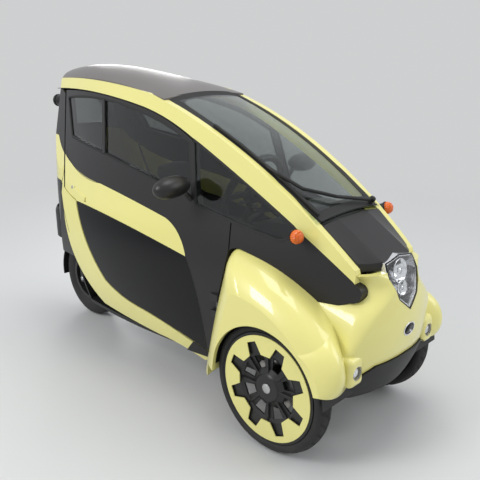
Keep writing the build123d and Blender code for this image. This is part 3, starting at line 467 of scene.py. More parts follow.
def axes_from(direction):
    """Two unit vectors square to a direction."""
    forward = Vector(direction).normalized()
    hint = Vector((1, 0, 0)) if abs(forward.z) > 0.95 else Vector((0, 0, 1))
    across = hint.cross(forward).normalized()
    return across, forward.cross(across)


def mirrored(place, side):
    """A place or direction given for the left, on the side asked for."""
    x, y, z = place
    return Vector((x, side * y, z))


def lathe(name, centre, axis, profile, material, body, segments=64, shape=None):
    """Closed ring of a profile of (radius, height) turned about an axis."""
    across, up = axes_from(axis)
    forward = Vector(axis).normalized()
    centre = Vector(centre)
    verts = []
    for step in range(segments):
        angle = 2 * math.pi * step / segments
        outward = across * math.cos(angle) + up * math.sin(angle)
        for radius, height in profile:
            if shape:
                radius, height = shape(angle, radius, height)
            verts.append(centre + outward * radius + forward * height)
    faces = grid_faces(segments, len(profile), True, True)
    piece = piece_from(name, verts, faces, material, body)
    work = bmesh.new()
    work.from_mesh(piece.data)
    bmesh.ops.remove_doubles(work, verts=work.verts, dist=1e-6)
    work.to_mesh(piece.data)
    work.free()
    return piece


def sweep(name, path, section, material, body, closed=False, smooth=False):
    """Section of (sideways, upward) points carried along a path of (point, up vector) pairs."""
    count = len(path)
    verts = []
    for i, (point, up) in enumerate(path):
        before = path[i - 1][0] if i or closed else point
        after = path[(i + 1) % count][0] if i < count - 1 or closed else point
        along = (after - before).normalized()
        aside = along.cross(up).normalized()
        for sideways, upward in section:
            verts.append(point + aside * sideways + up * upward)
    faces = grid_faces(count, len(section), closed, True)
    if not closed:
        faces.append(tuple(range(len(section))))
        faces.append(tuple((count - 1) * len(section) + i for i in range(len(section))))
    return piece_from(name, verts, faces, material, body, smooth)


def with_up(points, up):
    """Path of points that share one up vector."""
    return [(Vector(point), Vector(up)) for point in points]


def round_section(radius, count):
    """Round bar's section."""
    turns = [2 * math.pi * i / count for i in range(count)]
    return [(radius * math.cos(turn), radius * math.sin(turn)) for turn in turns]


def bar_section(width, height, corner=0.3):
    """Low bar with cut upper corners, standing on its path."""
    cut = height * corner
    half = width / 2
    return [(-half, -height), (half, -height), (half, height - cut), (half - cut, height),
            (cut - half, height), (-half, height - cut)]


# The body's skin


def half_width(z, depth=0.0):
    """Half the body's width at its widest station: a leaning upper side and a round tuck below it."""
    angle = math.atan(LEAN)
    centre_y = SHOULDER_HALF - TUCK_RADIUS * math.cos(angle)
    centre_z = SHOULDER_Z - TUCK_RADIUS * math.sin(angle)
    shoulder_z = centre_z + (TUCK_RADIUS - depth) * math.sin(angle)
    if z >= shoulder_z:
        return centre_y + (TUCK_RADIUS - depth) * math.cos(angle) - LEAN * (z - shoulder_z)
    return centre_y + math.sqrt((TUCK_RADIUS - depth) ** 2 - (z - centre_z) ** 2)


def skin_y(x, z, depth=0.0):
    """Distance of the body side from the middle plane."""
    axis_y = PLAN_RADIUS - SHOULDER_HALF
    return math.sqrt((axis_y + half_width(z, depth)) ** 2 - (x - WIDEST_X) ** 2) - axis_y


def on_skin(x, z, side, lift=0.0):
    """Point on the body side and its outward direction; a negative lift is under the skin."""
    step = 0.002
    slope_x = (skin_y(x + step, z) - skin_y(x - step, z)) / (2 * step)
    slope_z = (skin_y(x, z + step) - skin_y(x, z - step)) / (2 * step)
    outward = Vector((-slope_x, side, -slope_z)).normalized()
    return Vector((x, side * skin_y(x, z), z)) + outward * lift, outward


def arc_points(start, middle, end, count):
    """Points after the start of the arc through three points."""
    (ax, ay), (bx, by), (cx, cy) = start, middle, end
    bend = 2 * (ax * (by - cy) + bx * (cy - ay) + cx * (ay - by))
    if abs(bend) < 1e-9:
        return [end]
    a, b, c = ax * ax + ay * ay, bx * bx + by * by, cx * cx + cy * cy
    x = (a * (by - cy) + b * (cy - ay) + c * (ay - by)) / bend
    y = (a * (cx - bx) + b * (ax - cx) + c * (bx - ax)) / bend
    radius = math.hypot(ax - x, ay - y)
    first = math.atan2(ay - y, ax - x)
    to_middle, to_end = ((math.atan2(q - y, p - x) - first) % (2 * math.pi) for p, q in (middle, end))
    whole = to_end if to_middle <= to_end else to_end - 2 * math.pi
    turns = [first + whole * i / count for i in range(1, count + 1)]
    return [(x + radius * math.cos(turn), y + radius * math.sin(turn)) for turn in turns]


def outline(start, *steps):
    """Points of an outline: a step is a point, or an arc's middle and end."""
    points = [start]
    for step in steps:
        if isinstance(step[0], tuple):
            points += arc_points(points[-1], step[0], step[1], 16)
        else:
            (ax, ay), (bx, by) = points[-1], step
            pieces = max(1, int(math.dist(points[-1], step) / 0.03))
            shares = [i / pieces for i in range(1, pieces + 1)]
            points += [(ax + (bx - ax) * share, ay + (by - ay) * share) for share in shares]
    if math.dist(points[0], points[-1]) < 1e-6:
        points.pop()
    return points


def skin_bead(name, points, side, section, lift, material, body, closed=True):
    """Trim along an outline on the body side."""
    path = [on_skin(x, z, side, lift) for x, z in points]
    sweep(name, path, section, material, body, closed)


def skin_patch(name, corners, side, lift, thick, material, body):
    """Thin plate that follows the body side between four corners, (x, z) each, in order round it."""
    rows, columns = 8, 14
    (ax, az), (bx, bz), (cx, cz), (dx, dz) = corners
    verts = []
    for level in (lift, lift - thick):
        for row in range(rows):
            up = row / (rows - 1)
            for column in range(columns):
                along = column / (columns - 1)
                x = (ax + (bx - ax) * along) * (1 - up) + (dx + (cx - dx) * along) * up
                z = (az + (bz - az) * along) * (1 - up) + (dz + (cz - dz) * along) * up
                verts.append(on_skin(x, z, side, level)[0])
    piece_from(name, verts, two_layers(rows, columns), material, body, False)


WINDOW = outline((-0.611, 1.096), ((-0.445, 1.070), (-0.278, 1.045)), ((0.050, 0.980), (0.338, 0.912)),
                 ((0.312, 1.030), (0.290, 1.138)), ((0.165, 1.192), (-0.020, 1.243)),
                 ((-0.300, 1.287), (-0.700, 1.286)), ((-0.655, 1.190), (-0.611, 1.096)))
QUARTER = outline((0.357, 0.897), ((0.455, 0.873), (0.548, 0.852)), ((0.650, 0.829), (0.746, 0.811)),
                  ((0.785, 0.812), (0.808, 0.855)), (0.842, 0.846), ((0.612, 0.988), (0.347, 1.131)),
                  (0.309, 1.149), ((0.333, 1.020), (0.357, 0.897)))


def window_trim():
    """Rubber round each pane, the divider bar of the door glass and its thin gloss lower edge."""
    for side_name, side in SIDES.items():
        door = "door_" + side_name
        seal_lift = -GLASS_DEPTH + 0.002
        skin_bead(f"door_seal_{side_name}", WINDOW, side, bar_section(0.011, 0.0035), seal_lift, RUBBER,
                  door)
        skin_bead(f"quarter_seal_{side_name}", QUARTER, side, bar_section(0.012, 0.0035), seal_lift, RUBBER,
                  "body")
        bar = outline((-0.326, 1.286), (-0.278, 1.046))
        skin_bead(f"window_divider_{side_name}", bar, side, bar_section(0.022, 0.006), seal_lift + 0.002,
                  CHARCOAL, door, closed=False)
        sill = outline((-0.606, 1.102), ((-0.445, 1.076), (-0.278, 1.051)),
                       ((0.050, 0.986), (0.334, 0.919)))
        skin_bead(f"window_sill_{side_name}", sill, side, bar_section(0.006, 0.003), -0.002, GLOSS_BLACK,
                  door, closed=False)


def screen_point(share, turn, lift):
    """Point over the windscreen: share of the way down, degrees across, height over the glass."""
    top, middle, foot = (Vector((x, 0, z)) for x, z in (SCREEN_TOP, SCREEN_MIDDLE, SCREEN_FOOT))
    run = (foot - top).normalized()
    normal = Vector((-run.z, 0, run.x))
    centre = (top + foot) / 2 - normal * SCREEN_CROWN
    count = 200
    profile = [SCREEN_TOP] + arc_points(SCREEN_TOP, SCREEN_MIDDLE, SCREEN_FOOT, count)
    x, z = profile[round(share * count)]
    here = Vector((x, 0, z)) - centre
    height = here.dot(normal) + lift
    angle = math.radians(turn)
    point = centre + run * here.dot(run) + normal * height * math.cos(angle)
    outward = normal * math.cos(angle) + Vector((0, math.sin(angle), 0))
    return point + Vector((0, height * math.sin(angle), 0)), outward


def screen_reach(share, inset):
    """Degrees across the windscreen, from its middle line to an inset from the body side."""
    point = screen_point(share, 0, 0)[0]
    return math.degrees(math.asin((skin_y(point.x, point.z) - inset) / SCREEN_CROWN))


def screen_trim():
    """Black printed border of the windscreen, just over the glass."""
    for side_name, side in SIDES.items():
        shares = [0.01 + 0.98 * i / 40 for i in range(41)]
        edge = [screen_point(share, side * screen_reach(share, 0.045), 0.0006) for share in shares]
        sweep(f"screen_border_{side_name}", edge, bar_section(0.036, 0.0012), RUBBER, "body")
    for name, share, wide in (("screen_header", 0.03, 0.05), ("screen_foot_border", 0.965, 0.06)):
        reach = screen_reach(share, 0.03)
        border = [screen_point(share, -reach + 2 * reach * i / 24, 0.0007) for i in range(25)]
        sweep(name, border, bar_section(wide, 0.0012), RUBBER, "body")


# Tyres and wheels


def limited(value):
    """The value held between 0 and 1."""
    return max(0.0, min(1.0, value))


def tread_depth(angle, across, pitch_count, half):
    """How deep the tread is cut, from 0 to 1, at an angle and an offset across the tyre."""
    reach = abs(across) / half
    side = 0.5 if across > 0 else 0.0
    slant = (reach - 0.15) * 0.55
    phase = (angle / (2 * math.pi) * pitch_count + slant + side) % 1.0
    block = limited((0.26 - abs(phase - 0.5) / 0.5) / 0.06)
    band = limited((reach - 0.16) / 0.05) * limited((0.86 - reach) / 0.05)
    middle = limited((0.07 - reach) / 0.025) if pitch_count > 30 else 0.0
    return max(block * band, middle * 0.8)


def tyre_profile(radius, width, rim_radius):
    """Outer line of a tyre, as (radius, across), from one bead over the crown to the other."""
    half = width / 2
    fat, shoulder = (radius + rim_radius) / 2, radius - 0.009
    wall = [(rim_radius + 0.003, half * 0.76), (rim_radius + 0.012, half * 0.77)]
    wall += arc_points((rim_radius + 0.012, half * 0.77), (fat, half * 0.99), (shoulder, half * 0.72), 10)
    crown = arc_points((shoulder, half * 0.72), (radius - 0.0002, 0.0), (shoulder, -half * 0.72), 30)
    return wall + crown[:-1] + [(r, -y) for r, y in reversed(wall)]


def make_tyre(name, replaced, joint, radius, width, rim_radius, body, pitch_count):
    """Tyre with its tread and a step on the wall where the rim's flange ends."""
    half = width / 2
    inner = [(rim_radius + 0.0025, -half * 0.5), (rim_radius + 0.0025, half * 0.5)]

    def cut(angle, r, y):
        if r > radius - 0.016:
            return r - 0.0045 * tread_depth(angle, y, pitch_count, half * 0.86), y
        step = 0.0006 if abs(r - (rim_radius + 0.020)) < 0.003 else 0.0
        return r, y + math.copysign(step, y)

    tyre = lathe(name, joints[joint]["pos_m"], (0, 1, 0), tyre_profile(radius, width, rim_radius) + inner,
                 TYRE, body, pitch_count * 10, cut)
    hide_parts(replaced)


def make_tyres():
    """Two narrow front tyres and the wide rear one."""
    for side_name in SIDES:
        body = f"wheel_front_{side_name}"
        make_tyre(f"treaded_tyre_{side_name}", f"front_tyre_{side_name}", body + "_spin", FRONT_TYRE_RADIUS,
                  FRONT_TYRE_WIDTH, FRONT_RIM_RADIUS, body, 34)
    make_tyre("treaded_tyre_rear", "rear_tyre", "wheel_rear_spin", REAR_TYRE_RADIUS, REAR_TYRE_WIDTH,
              REAR_RIM_RADIUS, "wheel_rear", 28)


def wheel_details():
    """Brake disc, hub cap and cover screws of each front wheel."""
    disc = [(0.058, -0.0185), (0.102, -0.0185), (0.102, -0.0175), (0.1, -0.0170), (0.06, -0.0170)]
    cap = [(0.0, 0.0345), (0.022, 0.0355), (0.026, 0.034), (0.030, 0.0335), (0.033, 0.031), (0.036, 0.02),
           (0.0, 0.02)]
    ring = [(0.0, 0.0358), (0.018, 0.0362), (0.0205, 0.0352), (0.0, 0.034)]
    screw = [(0.0, 0.0300), (0.0022, 0.0300), (0.0026, 0.0312), (0.0052, 0.0308), (0.0058, 0.0296),
             (0.0058, 0.026), (0.0, 0.026)]
    for side_name, side in SIDES.items():
        body = f"wheel_front_{side_name}"
        centre = Vector(joints[body + "_spin"]["pos_m"])
        out = Vector((0, side, 0))
        lathe(f"brake_face_{side_name}", centre, out, disc, BRAKE_STEEL, body, 96)
        lathe(f"hub_cap_{side_name}", centre, out, cap, WHEEL_BLACK, body, 48)
        lathe(f"hub_badge_place_{side_name}", centre, out, ring, SOFT_BRIGHT, body, 40)
        for step in range(COVER_SCREWS):
            angle = 2 * math.pi * step / COVER_SCREWS
            spot = centre + Vector((math.cos(angle), 0, math.sin(angle))) * COVER_SCREW_RING
            lathe(f"disc_screw_{side_name}_{step}", spot, out, screw, WHEEL_BLACK, body, 12)


def rear_wheel_details():
    """Brake disc of the rear wheel and the axle nuts on its fork."""
    centre = Vector(joints["wheel_rear_spin"]["pos_m"])
    disc = [(0.040, 0.061), (0.074, 0.061), (0.074, 0.0645), (0.040, 0.0645)]
    lathe("rear_brake_disc", centre, (0, 1, 0), disc, BRAKE_STEEL, "wheel_rear", 64)
    nut = [(0.0, 0.012), (0.007, 0.012), (0.0125, 0.010), (0.0135, 0.0), (0.0, 0.0)]
    for side_name, side in SIDES.items():
        spot = centre + Vector((0, side * 0.086, 0))
        lathe(f"rear_axle_nut_{side_name}", spot, (0, side, 0), nut, SOFT_BRIGHT, "steer_fork", 6)


def arch_liners():
    """Dark lining inside each front wheel arch."""
    for side_name, side in SIDES.items():
        x, y, z = joints[f"wheel_front_{side_name}_spin"]["pos_m"]
        middle = Vector((x, side * ARCH_MIDDLE_Y, z))
        path = []
        for step in range(61):
            angle = math.radians(3 + 174 * step / 60)
            outward = Vector((math.cos(angle), 0, math.sin(angle)))
            path.append((middle + outward * ARCH_RADIUS, outward))
        sweep(f"arch_liner_{side_name}", path, bar_section(ARCH_WIDTH, 0.0006), TRIM, "body")


# Lamps


def headlamp_inside():
    """Two stacked bulbs, each in a round bowl with a bright shade in front."""
    bulb = [(0.0, 0.004), (0.006, 0.002), (0.009, -0.005), (0.0085, -0.016), (0.006, -0.028), (0.0, -0.03)]
    for name, centre, size in HEADLAMP_BULBS:
        bowl = [(0.006, -0.030), (size * 0.5, -0.026), (size * 0.8, -0.013), (size, 0.008),
                (size + 0.003, 0.008), (size + 0.003, 0.004), (size * 0.8, -0.018), (size * 0.5, -0.031),
                (0.006, -0.035)]
        lathe(f"lamp_bowl_{name}", centre, HEADLAMP_AIM, bowl, BRIGHT, "body", 48)
        lathe(f"lamp_bulb_{name}", centre, HEADLAMP_AIM, bulb, CLEAR, "body", 24)
        shade = [(0.0, 0.010), (size * 0.28, 0.008), (size * 0.30, 0.002), (size * 0.24, 0.0), (0.0, 0.003)]
        lathe(f"lamp_shade_{name}", centre, HEADLAMP_AIM, shade, BRIGHT, "body", 32)


def fog_lamp_inside():
    """Bright ring and bowl of each fog lamp."""
    ring = [(0.0225, 0.0055), (0.0262, 0.0068), (0.0268, 0.0055), (0.0268, 0.0), (0.0225, 0.0)]
    bowl = [(0.0, -0.0075), (0.012, -0.0072), (0.024, -0.0065), (0.024, -0.0062), (0.012, -0.0064),
            (0.0, -0.0066)]
    for side_name, side in SIDES.items():
        centre = mirrored(FOG_LAMP_PLACE, side)
        lathe(f"fog_ring_{side_name}", centre, (1, 0, 0), ring, SOFT_BRIGHT, "body", 48)
        lathe(f"fog_bowl_{side_name}", centre, (1, 0, 0), bowl, BRIGHT, "body", 32)


def rear_lamp_lenses():
    """Dark red lens and black ring of each rear lamp."""
    lens = [(0.0, 0.010), (0.012, 0.009), (0.021, 0.0065), (0.027, 0.002), (0.028, -0.002), (0.0, -0.002)]
    ring = [(0.0275, 0.001), (0.030, 0.003), (0.0325, 0.001), (0.033, -0.02), (0.0275, -0.004)]
    for side_name, side in SIDES.items():
        centre = mirrored(REAR_LAMP_PLACE, side)
        lathe(f"rear_lens_{side_name}", centre, (-1, 0, 0), lens, RED_LENS, "body", 48)
        lathe(f"rear_lamp_ring_{side_name}", centre, (-1, 0, 0), ring, TRIM, "body", 48)


def turn_lenses():
    """Ribbed drop-shaped lens with two ridges, and its dark cup, on each signal stalk."""
    lens = [(0.0, 0.0262), (0.0060, 0.0256), (0.0120, 0.0236), (0.0175, 0.0200), (0.0220, 0.0148),
            (0.0250, 0.0085), (0.0262, 0.0020), (0.0255, -0.0050), (0.0235, -0.0095), (0.0, -0.0095)]
    cup = [(0.0, -0.0092), (0.0240, -0.0088), (0.0262, -0.0060), (0.0268, -0.0075), (0.0262, -0.0115),
           (0.0225, -0.0170), (0.0150, -0.0225), (0.0, -0.0250)]

    def rib(angle, radius, height):
        return radius - 0.0016 * (0.5 + 0.5 * math.cos(20 * angle)) * min(1.0, radius / 0.014), height

    for side_name, side in SIDES.items():
        centre, ahead = mirrored(TURN_LENS_PLACE, side), mirrored(TURN_LENS_AIM, side)
        shown = lathe(f"turn_lens_{side_name}", centre, ahead, lens, ORANGE, "body", 168,
                      rib)
        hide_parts("turn_signals")
        lathe(f"turn_cup_{side_name}", centre, ahead, cup, TRIM, "body", 64)
        for ring, reach in ((0.0122, 0.0242), (0.0196, 0.0182)):
            ridge = [(ring - 0.0008, reach - 0.002), (ring, reach + 0.0004), (ring + 0.0008, reach - 0.002)]
            lathe(f"turn_ridge_{side_name}_{round(ring * 1000)}", centre, ahead, ridge, ORANGE, "body",
                  64)


# Nose


def nose_point(y, z, lift=0.0):
    """Point on the round front and its outward direction."""
    rise = math.sqrt(NOSE_BEND ** 2 - (z - NOSE_FULL_Z) ** 2)
    reach = NOSE_REACH - NOSE_BEND + rise
    x = NOSE_CENTRE_X + math.sqrt(reach ** 2 - y ** 2)
    outward = Vector(((x - NOSE_CENTRE_X) * rise, y * rise, (z - NOSE_FULL_Z) * reach)).normalized()
    return Vector((x, y, z)) + outward * lift, outward


def lamp_outline(shrink):
    """Points every 12 mm along the headlamp's edge, drawn in towards its middle."""
    points = []
    for (ay, az), (by, bz) in zip(LAMP_EDGE, LAMP_EDGE[1:] + LAMP_EDGE[:1]):
        pieces = max(1, round(math.dist((ay, az), (by, bz)) / 0.012))
        points += [(ay + (by - ay) * i / pieces, az + (bz - az) * i / pieces) for i in range(pieces)]
    return [(y * shrink, LAMP_MIDDLE_Z + (z - LAMP_MIDDLE_Z) * shrink) for y, z in points]


def headlamp_frame():
    """Black rubber frame of the lens, its bright inner edge, the dark lower tip and the fluted backing."""
    for name, shrink, lift, section, material, slot in (
            ("headlamp_seal", 0.985, 0.0002, bar_section(0.0035, 0.0012), RUBBER, "trim"),
            ("headlamp_bezel", 0.95, -0.010, bar_section(0.005, 0.003), REFLECTOR, "reflector")):
        path = [nose_point(y, z, lift) for y, z in lamp_outline(shrink)]
        sweep(name, path, section, material, "body", closed=True)
    verts, columns = [], 9
    for row in range(7):
        z = 0.583 + 0.038 * row / 6
        half = 0.006 + (z - 0.575) * 0.85
        for column in range(columns):
            y = half * (2 * column / (columns - 1) - 1)
            verts.append(nose_point(y, z, -0.013 - 0.004 * (1 - (y / 0.05) ** 2))[0])
    piece_from("headlamp_tip_mask", verts, grid_faces(7, columns), GLOSS_BLACK, "body")
    verts, columns = [], 61
    for row in range(9):
        z = 0.625 + 0.115 * row / 8
        half = 0.088 - max(0.0, 0.690 - z) * 0.55
        for column in range(columns):
            y = half * (2 * column / (columns - 1) - 1)
            flute = 0.0022 * abs(math.sin(math.pi * column / 4))
            verts.append(nose_point(y, z, -0.060 + flute)[0])
    piece_from("headlamp_flutes", verts, grid_faces(9, columns), REFLECTOR, "body")


def badge_place():
    """Bare dark oval with a bright rim at the badge place."""
    count = 48
    turns = [2 * math.pi * step / count for step in range(count)]
    oval = [(BADGE_HALF_WIDTH * math.cos(turn), BADGE_Z + BADGE_HALF_HEIGHT * math.sin(turn))
            for turn in turns]
    rim = [nose_point(y, z, 0.0006) for y, z in oval]
    verts = [nose_point(0.0, BADGE_Z, 0.0008)[0]] + [nose_point(y, z, 0.0004)[0] for y, z in oval]
    verts += [point - up * 0.001 for point, up in rim] + [nose_point(0.0, BADGE_Z, -0.001)[0]]
    faces = []
    for step in range(count):
        here, beside = 1 + step, 1 + (step + 1) % count
        faces += [(0, here, beside), (here, here + count, beside + count, beside),
                  (2 * count + 1, beside + count, here + count)]
    piece_from("badge_inlay", verts, faces, GLOSS_BLACK, "body")
    sweep("badge_rim", rim, bar_section(0.0045, 0.0016), BRIGHT, "body", closed=True)


# Body and doors


def shut_lines():
    """Thin dark seams where two panels of the skin meet without an open gap."""
    body_seams = [
        ("rail_foot", outline((1.060, 0.694), ((0.960, 0.768), (0.842, 0.846)),
                              ((0.612, 0.988), (0.347, 1.131)), ((0.165, 1.216), (-0.020, 1.268)),
                              ((-0.440, 1.321), (-0.860, 1.3262)))),
        ("quarter_foot", outline((0.548, 0.852), ((0.650, 0.829), (0.746, 0.811)),
                                 ((0.785, 0.812), (0.808, 0.855)))),
        ("shell_seam", outline((-0.700, 0.845), ((-0.675, 0.920), (-0.693, 1.012)),
                               ((-0.740, 1.045), (-0.779, 1.090)))),
        ("shell_low_seam", outline((-0.700, 0.838), (-0.637, 0.724), (-0.575, 0.620))),
    ]
    door_seams = [
        ("band_top_seam", outline((-0.660, 1.028), (-0.652, 1.000), ((-0.560, 0.954), (-0.290, 0.907)),
                                  ((0.0, 0.862), (0.196, 0.822)), ((0.285, 0.765), (0.331, 0.677)))),
        ("band_foot_seam", outline((0.331, 0.677), ((-0.100, 0.757), (-0.480, 0.793)))),
        ("panel_seam", outline((0.331, 0.677), ((0.400, 0.440), (0.386, 0.275)))),
    ]
    for side_name, side in SIDES.items():
        for body, width, seams in (("body", 0.0026, body_seams), ("door_" + side_name, 0.0024, door_seams)):
            for name, points in seams:
                skin_bead(f"{name}_{side_name}", points, side, bar_section(width, 0.0006), -0.0001, RUBBER,
                          body, closed=False)


def tail_joint():
    """Joint piece between the rails behind the roof, and the dark closing plate under the roof's end."""
    path = [(RAIL_JOINT_X - 0.0004 * math.cos(y * 60), y, RAIL_JOINT_Z)
            for y in (-RAIL_JOINT_HALF, -0.0100, 0.0, 0.0100, RAIL_JOINT_HALF)]
    sweep("rail_joint", with_up(path, (0, 0, 1)), bar_section(0.0245, 0.0268, 0.08), YELLOW, "body")
    verts, columns = [], 17
    for x in (-0.846, -0.840):
        for share in (0.0, 0.5, 1.0):
            for column in range(columns):
                across = 2 * column / (columns - 1) - 1
                top = ROOF_END_TOP_Z - ROOF_END_DROP * abs(across) ** 1.9
                z = ROOF_END_FOOT_Z + (top - ROOF_END_FOOT_Z) * share
                verts.append(Vector((x, ROOF_END_HALF * across, z)))
    piece_from("roof_end_plate", verts, two_layers(3, columns), TRIM, "body", smooth=False)


def sill_covers():
    """Dark end of the sill, between the lower band's slanted tip and the fender."""
    corners = ((0.258, 0.2165), (0.404, 0.2165), (0.400, 0.2500), (0.318, 0.2800))
    for side_name, side in SIDES.items():
        skin_patch(f"sill_cover_{side_name}", corners, side, 0.0012, 0.0014, TRIM, "body")


def door_furniture():
    """Handle flap with its lock outside; armrest and pull inside."""
    grip = outline((-0.530, 0.846), (-0.414, 0.812))
    seam = outline((-0.536, 0.858), (-0.410, 0.821), (-0.408, 0.802), (-0.534, 0.839), (-0.536, 0.858))
    lock = [(0.0, 0.0022), (0.0035, 0.0024), (0.0042, 0.0036), (0.0075, 0.0034), (0.0082, 0.002),
            (0.0082, -0.004), (0.0, -0.004)]
    for side_name, side in SIDES.items():
        door = "door_" + side_name
        skin_bead(f"handle_{side_name}", grip, side, bar_section(0.024, 0.004, 0.6), 0.0, YELLOW, door,
                  closed=False)
        skin_bead(f"handle_seam_{side_name}", seam, side, bar_section(0.002, 0.0006), 0.0, RUBBER, door)
        spot, outward = on_skin(-0.560, 0.853, side, -0.001)
        lathe(f"door_lock_{side_name}", spot, outward, lock, SOFT_BRIGHT, door, 24)
        armrest = [on_skin(-0.30 + 0.055 * i, 0.655 - 0.002 * i, side, -0.058) for i in range(9)]
        sweep(f"armrest_{side_name}", armrest, bar_section(0.055, 0.018, 0.6), CABIN_TRIM, door)
        bows = [0.018 * math.sin(math.pi * i / 6) for i in range(7)]
        pull = [on_skin(0.02 + 0.02 * i, 0.76 + bow, side, -0.048 - bow) for i, bow in enumerate(bows)]
        sweep(f"door_pull_{side_name}", pull, round_section(0.009, 12), SOFT_BRIGHT, door,
              smooth=True)


def make_mirrors():
    """Long pod with a flat, recessed back for the glass, on a flattened arm from the door's corner."""
    x, y, z = MIRROR_PLACE
    rings, columns = 56, 72
    arm = ((0.331, 0.352, 0.958), (0.330, 0.330, 0.938), (0.328, 0.310, 0.918), (0.326, 0.297, 0.902),
           (0.324, 0.290, 0.890))
    flat = [(1.35 * a, 0.8 * b) for a, b in round_section(0.0115, 16)]
    glass = [(0.0, 0.0016), (0.6, 0.0014), (0.97, 0.0005), (0.97, -0.001), (0.0, -0.001)]
    rim = [(0.985, -0.001), (0.985, 0.0040), (1.05, 0.0048), (1.055, -0.001)]

    def oval(angle, radius, height):
        return radius / math.hypot(math.cos(angle) / 0.0690, math.sin(angle) / 0.0325), height

    for side_name, side in SIDES.items():
        door = "door_" + side_name
        verts = []
        for i in range(rings):
            share = -math.cos(math.pi * (i + 0.5) / rings)
            girth = (1 - abs(share) ** 2.3) ** 0.5
            for j in range(columns):
                angle = 2 * math.pi * j / columns
                ahead = max(x + 0.049 * girth * math.cos(angle), MIRROR_BACK)
                up = (0.043 + 0.002 * share) * girth * math.sin(angle) - 0.004 * share
                verts.append(Vector((ahead, side * (y + MIRROR_HALF * share), z + up)))
        for vert in verts:
            across, up = (abs(vert.y) - y) / 0.072, (vert.z - z) / 0.0345
            if vert.x <= MIRROR_BACK and math.hypot(across, up) < 1.0:
                vert.x = MIRROR_BACK + 0.005
        faces = grid_faces(rings, columns, False, True)
        faces += [tuple(range(columns)), tuple((rings - 1) * columns + j for j in range(columns))]
        pod = piece_from(f"mirror_pod_{side_name}", verts, faces, CHARCOAL, door)
        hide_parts("mirror_" + side_name)
        path = with_up([mirrored(place, side) for place in arm], (0, side * 0.75, -0.66))
        sweep(f"mirror_arm_{side_name}", path, flat, CHARCOAL, door, smooth=True)
        place = Vector((MIRROR_BACK + 0.0042, side * y, z))
        lathe(f"mirror_glass_{side_name}", place, (-1, 0, 0), glass, MIRROR, door, 64, oval)
        lathe(f"mirror_rim_{side_name}", place, (-1, 0, 0), rim, RUBBER, door, 64, oval)


def wiper_details():
    """Rubber lip under the blade, its spine, the cap of the arm's pivot and the strip on the cowl."""
    stops = [(0.97, -9.2), (0.80, -9.5), (0.66, -9.7), (0.49, -9.95), (0.32, -10.2)]
    lip = [screen_point(share, turn, 0.0032) for share, turn in stops]
    sweep("wiper_lip", lip, bar_section(0.0025, 0.0028), RUBBER, "body")
    spine = [screen_point(share, turn, 0.0135) for share, turn in stops]
    sweep("wiper_spine", spine, bar_section(0.009, 0.002), TRIM, "body")
    spot, up = screen_point(0.985, 7.5, 0.030)
    cap = [(0.0, 0.006), (0.009, 0.005), (0.0125, 0.001), (0.013, -0.010), (0.0, -0.010)]
    lathe("wiper_pivot_cap", spot, up, cap, TRIM, "body", 32)
    cowl = [screen_point(0.985, -9.5 + 1.9 * step, 0.0022) for step in range(11)]
    sweep("cowl_strip", cowl, bar_section(0.026, 0.0014), GLOSS_BLACK, "body")


# Cabin


def rounded_block(name, low, high, material, body, radius, bulge=0.0):
    """Soft block: a subdivided box with rounded corners and crowned faces."""
    work = bmesh.new()
    bmesh.ops.create_cube(work, size=2.0)
    bmesh.ops.subdivide_edges(work, edges=work.edges, cuts=7, use_grid_fill=True)
    middle = (Vector(low) + Vector(high)) / 2
    half = (Vector(high) - Vector(low)) / 2
    for vert in work.verts:
        p = vert.co.copy()
        inner = Vector([max(-1, min(1, p[i])) * max(half[i] - radius, 0.0) for i in range(3)])
        outer = Vector([p[i] * half[i] for i in range(3)])
        away = outer - inner
        if away.length > 1e-9:
            away = away.normalized() * radius
        crown = Vector((0, 0, 0))
        for i in range(3):
            if abs(p[i]) > 0.999:
                rise = (1 - p[(i + 1) % 3] ** 2) * (1 - p[(i + 2) % 3] ** 2)
                crown[i] = bulge * math.copysign(1, p[i]) * rise
        vert.co = middle + inner + away + crown
    data = bpy.data.meshes.new(name)
    work.to_mesh(data)
    work.free()
    return riding(name, data, material, body)


def evaluated(piece):
    """Give a piece the mesh that its modifiers make, and drop them."""
    graph = bpy.context.evaluated_depsgraph_get()
    data = bpy.data.meshes.new_from_object(piece.evaluated_get(graph))
    materials = list(piece.data.materials)
    piece.modifiers.clear()
    piece.data = data
    data.materials.clear()
    for material in materials:
        data.materials.append(material)
    return data


def stuffed(piece):
    """Swell a pad by cloth pressure, as its filling does, with no point moving further than the cap."""
    remesh = piece.modifiers.new("Even mesh", "REMESH")
    remesh.mode = "VOXEL"
    remesh.voxel_size = 0.006
    data = evaluated(piece)
    before = [vert.co.copy() for vert in data.vertices]
    cloth = piece.modifiers.new("Cloth", "CLOTH")
    cloth.settings.use_pressure = True
    cloth.settings.uniform_pressure_force = 4.0
    cloth.settings.effector_weights.gravity = 0.0
    for number in range(1, 21):
        bpy.context.scene.frame_set(number)
    data = evaluated(piece)
    for vert, start in zip(data.vertices, before):
        move = vert.co - start
        if move.length > PAD_SWELL:
            vert.co = start + move * (PAD_SWELL / move.length)
    finer = piece.modifiers.new("Finer", "SUBSURF")
    finer.levels = finer.render_levels = 1
    data = evaluated(piece)
    data.shade_smooth()


def sewn(piece, seams, depth=0.0035, reach=0.006):
    """Press lengthwise seams into a pad, at these distances from the car's middle plane."""
    normals = [vert.normal.copy() for vert in piece.data.vertices]
    for vert, normal in zip(piece.data.vertices, normals):
        near = min(abs(vert.co.y - y) for y in seams)
        vert.co -= normal * depth * math.exp(-(near / reach) ** 2)


def leaned(piece, lean, foot):
    """Lean a piece of the seat's back about its foot."""
    place = Matrix.Translation(foot) @ Matrix.Rotation(-lean, 4, "Y") @ Matrix.Translation(-foot)
    piece.data.transform(place)


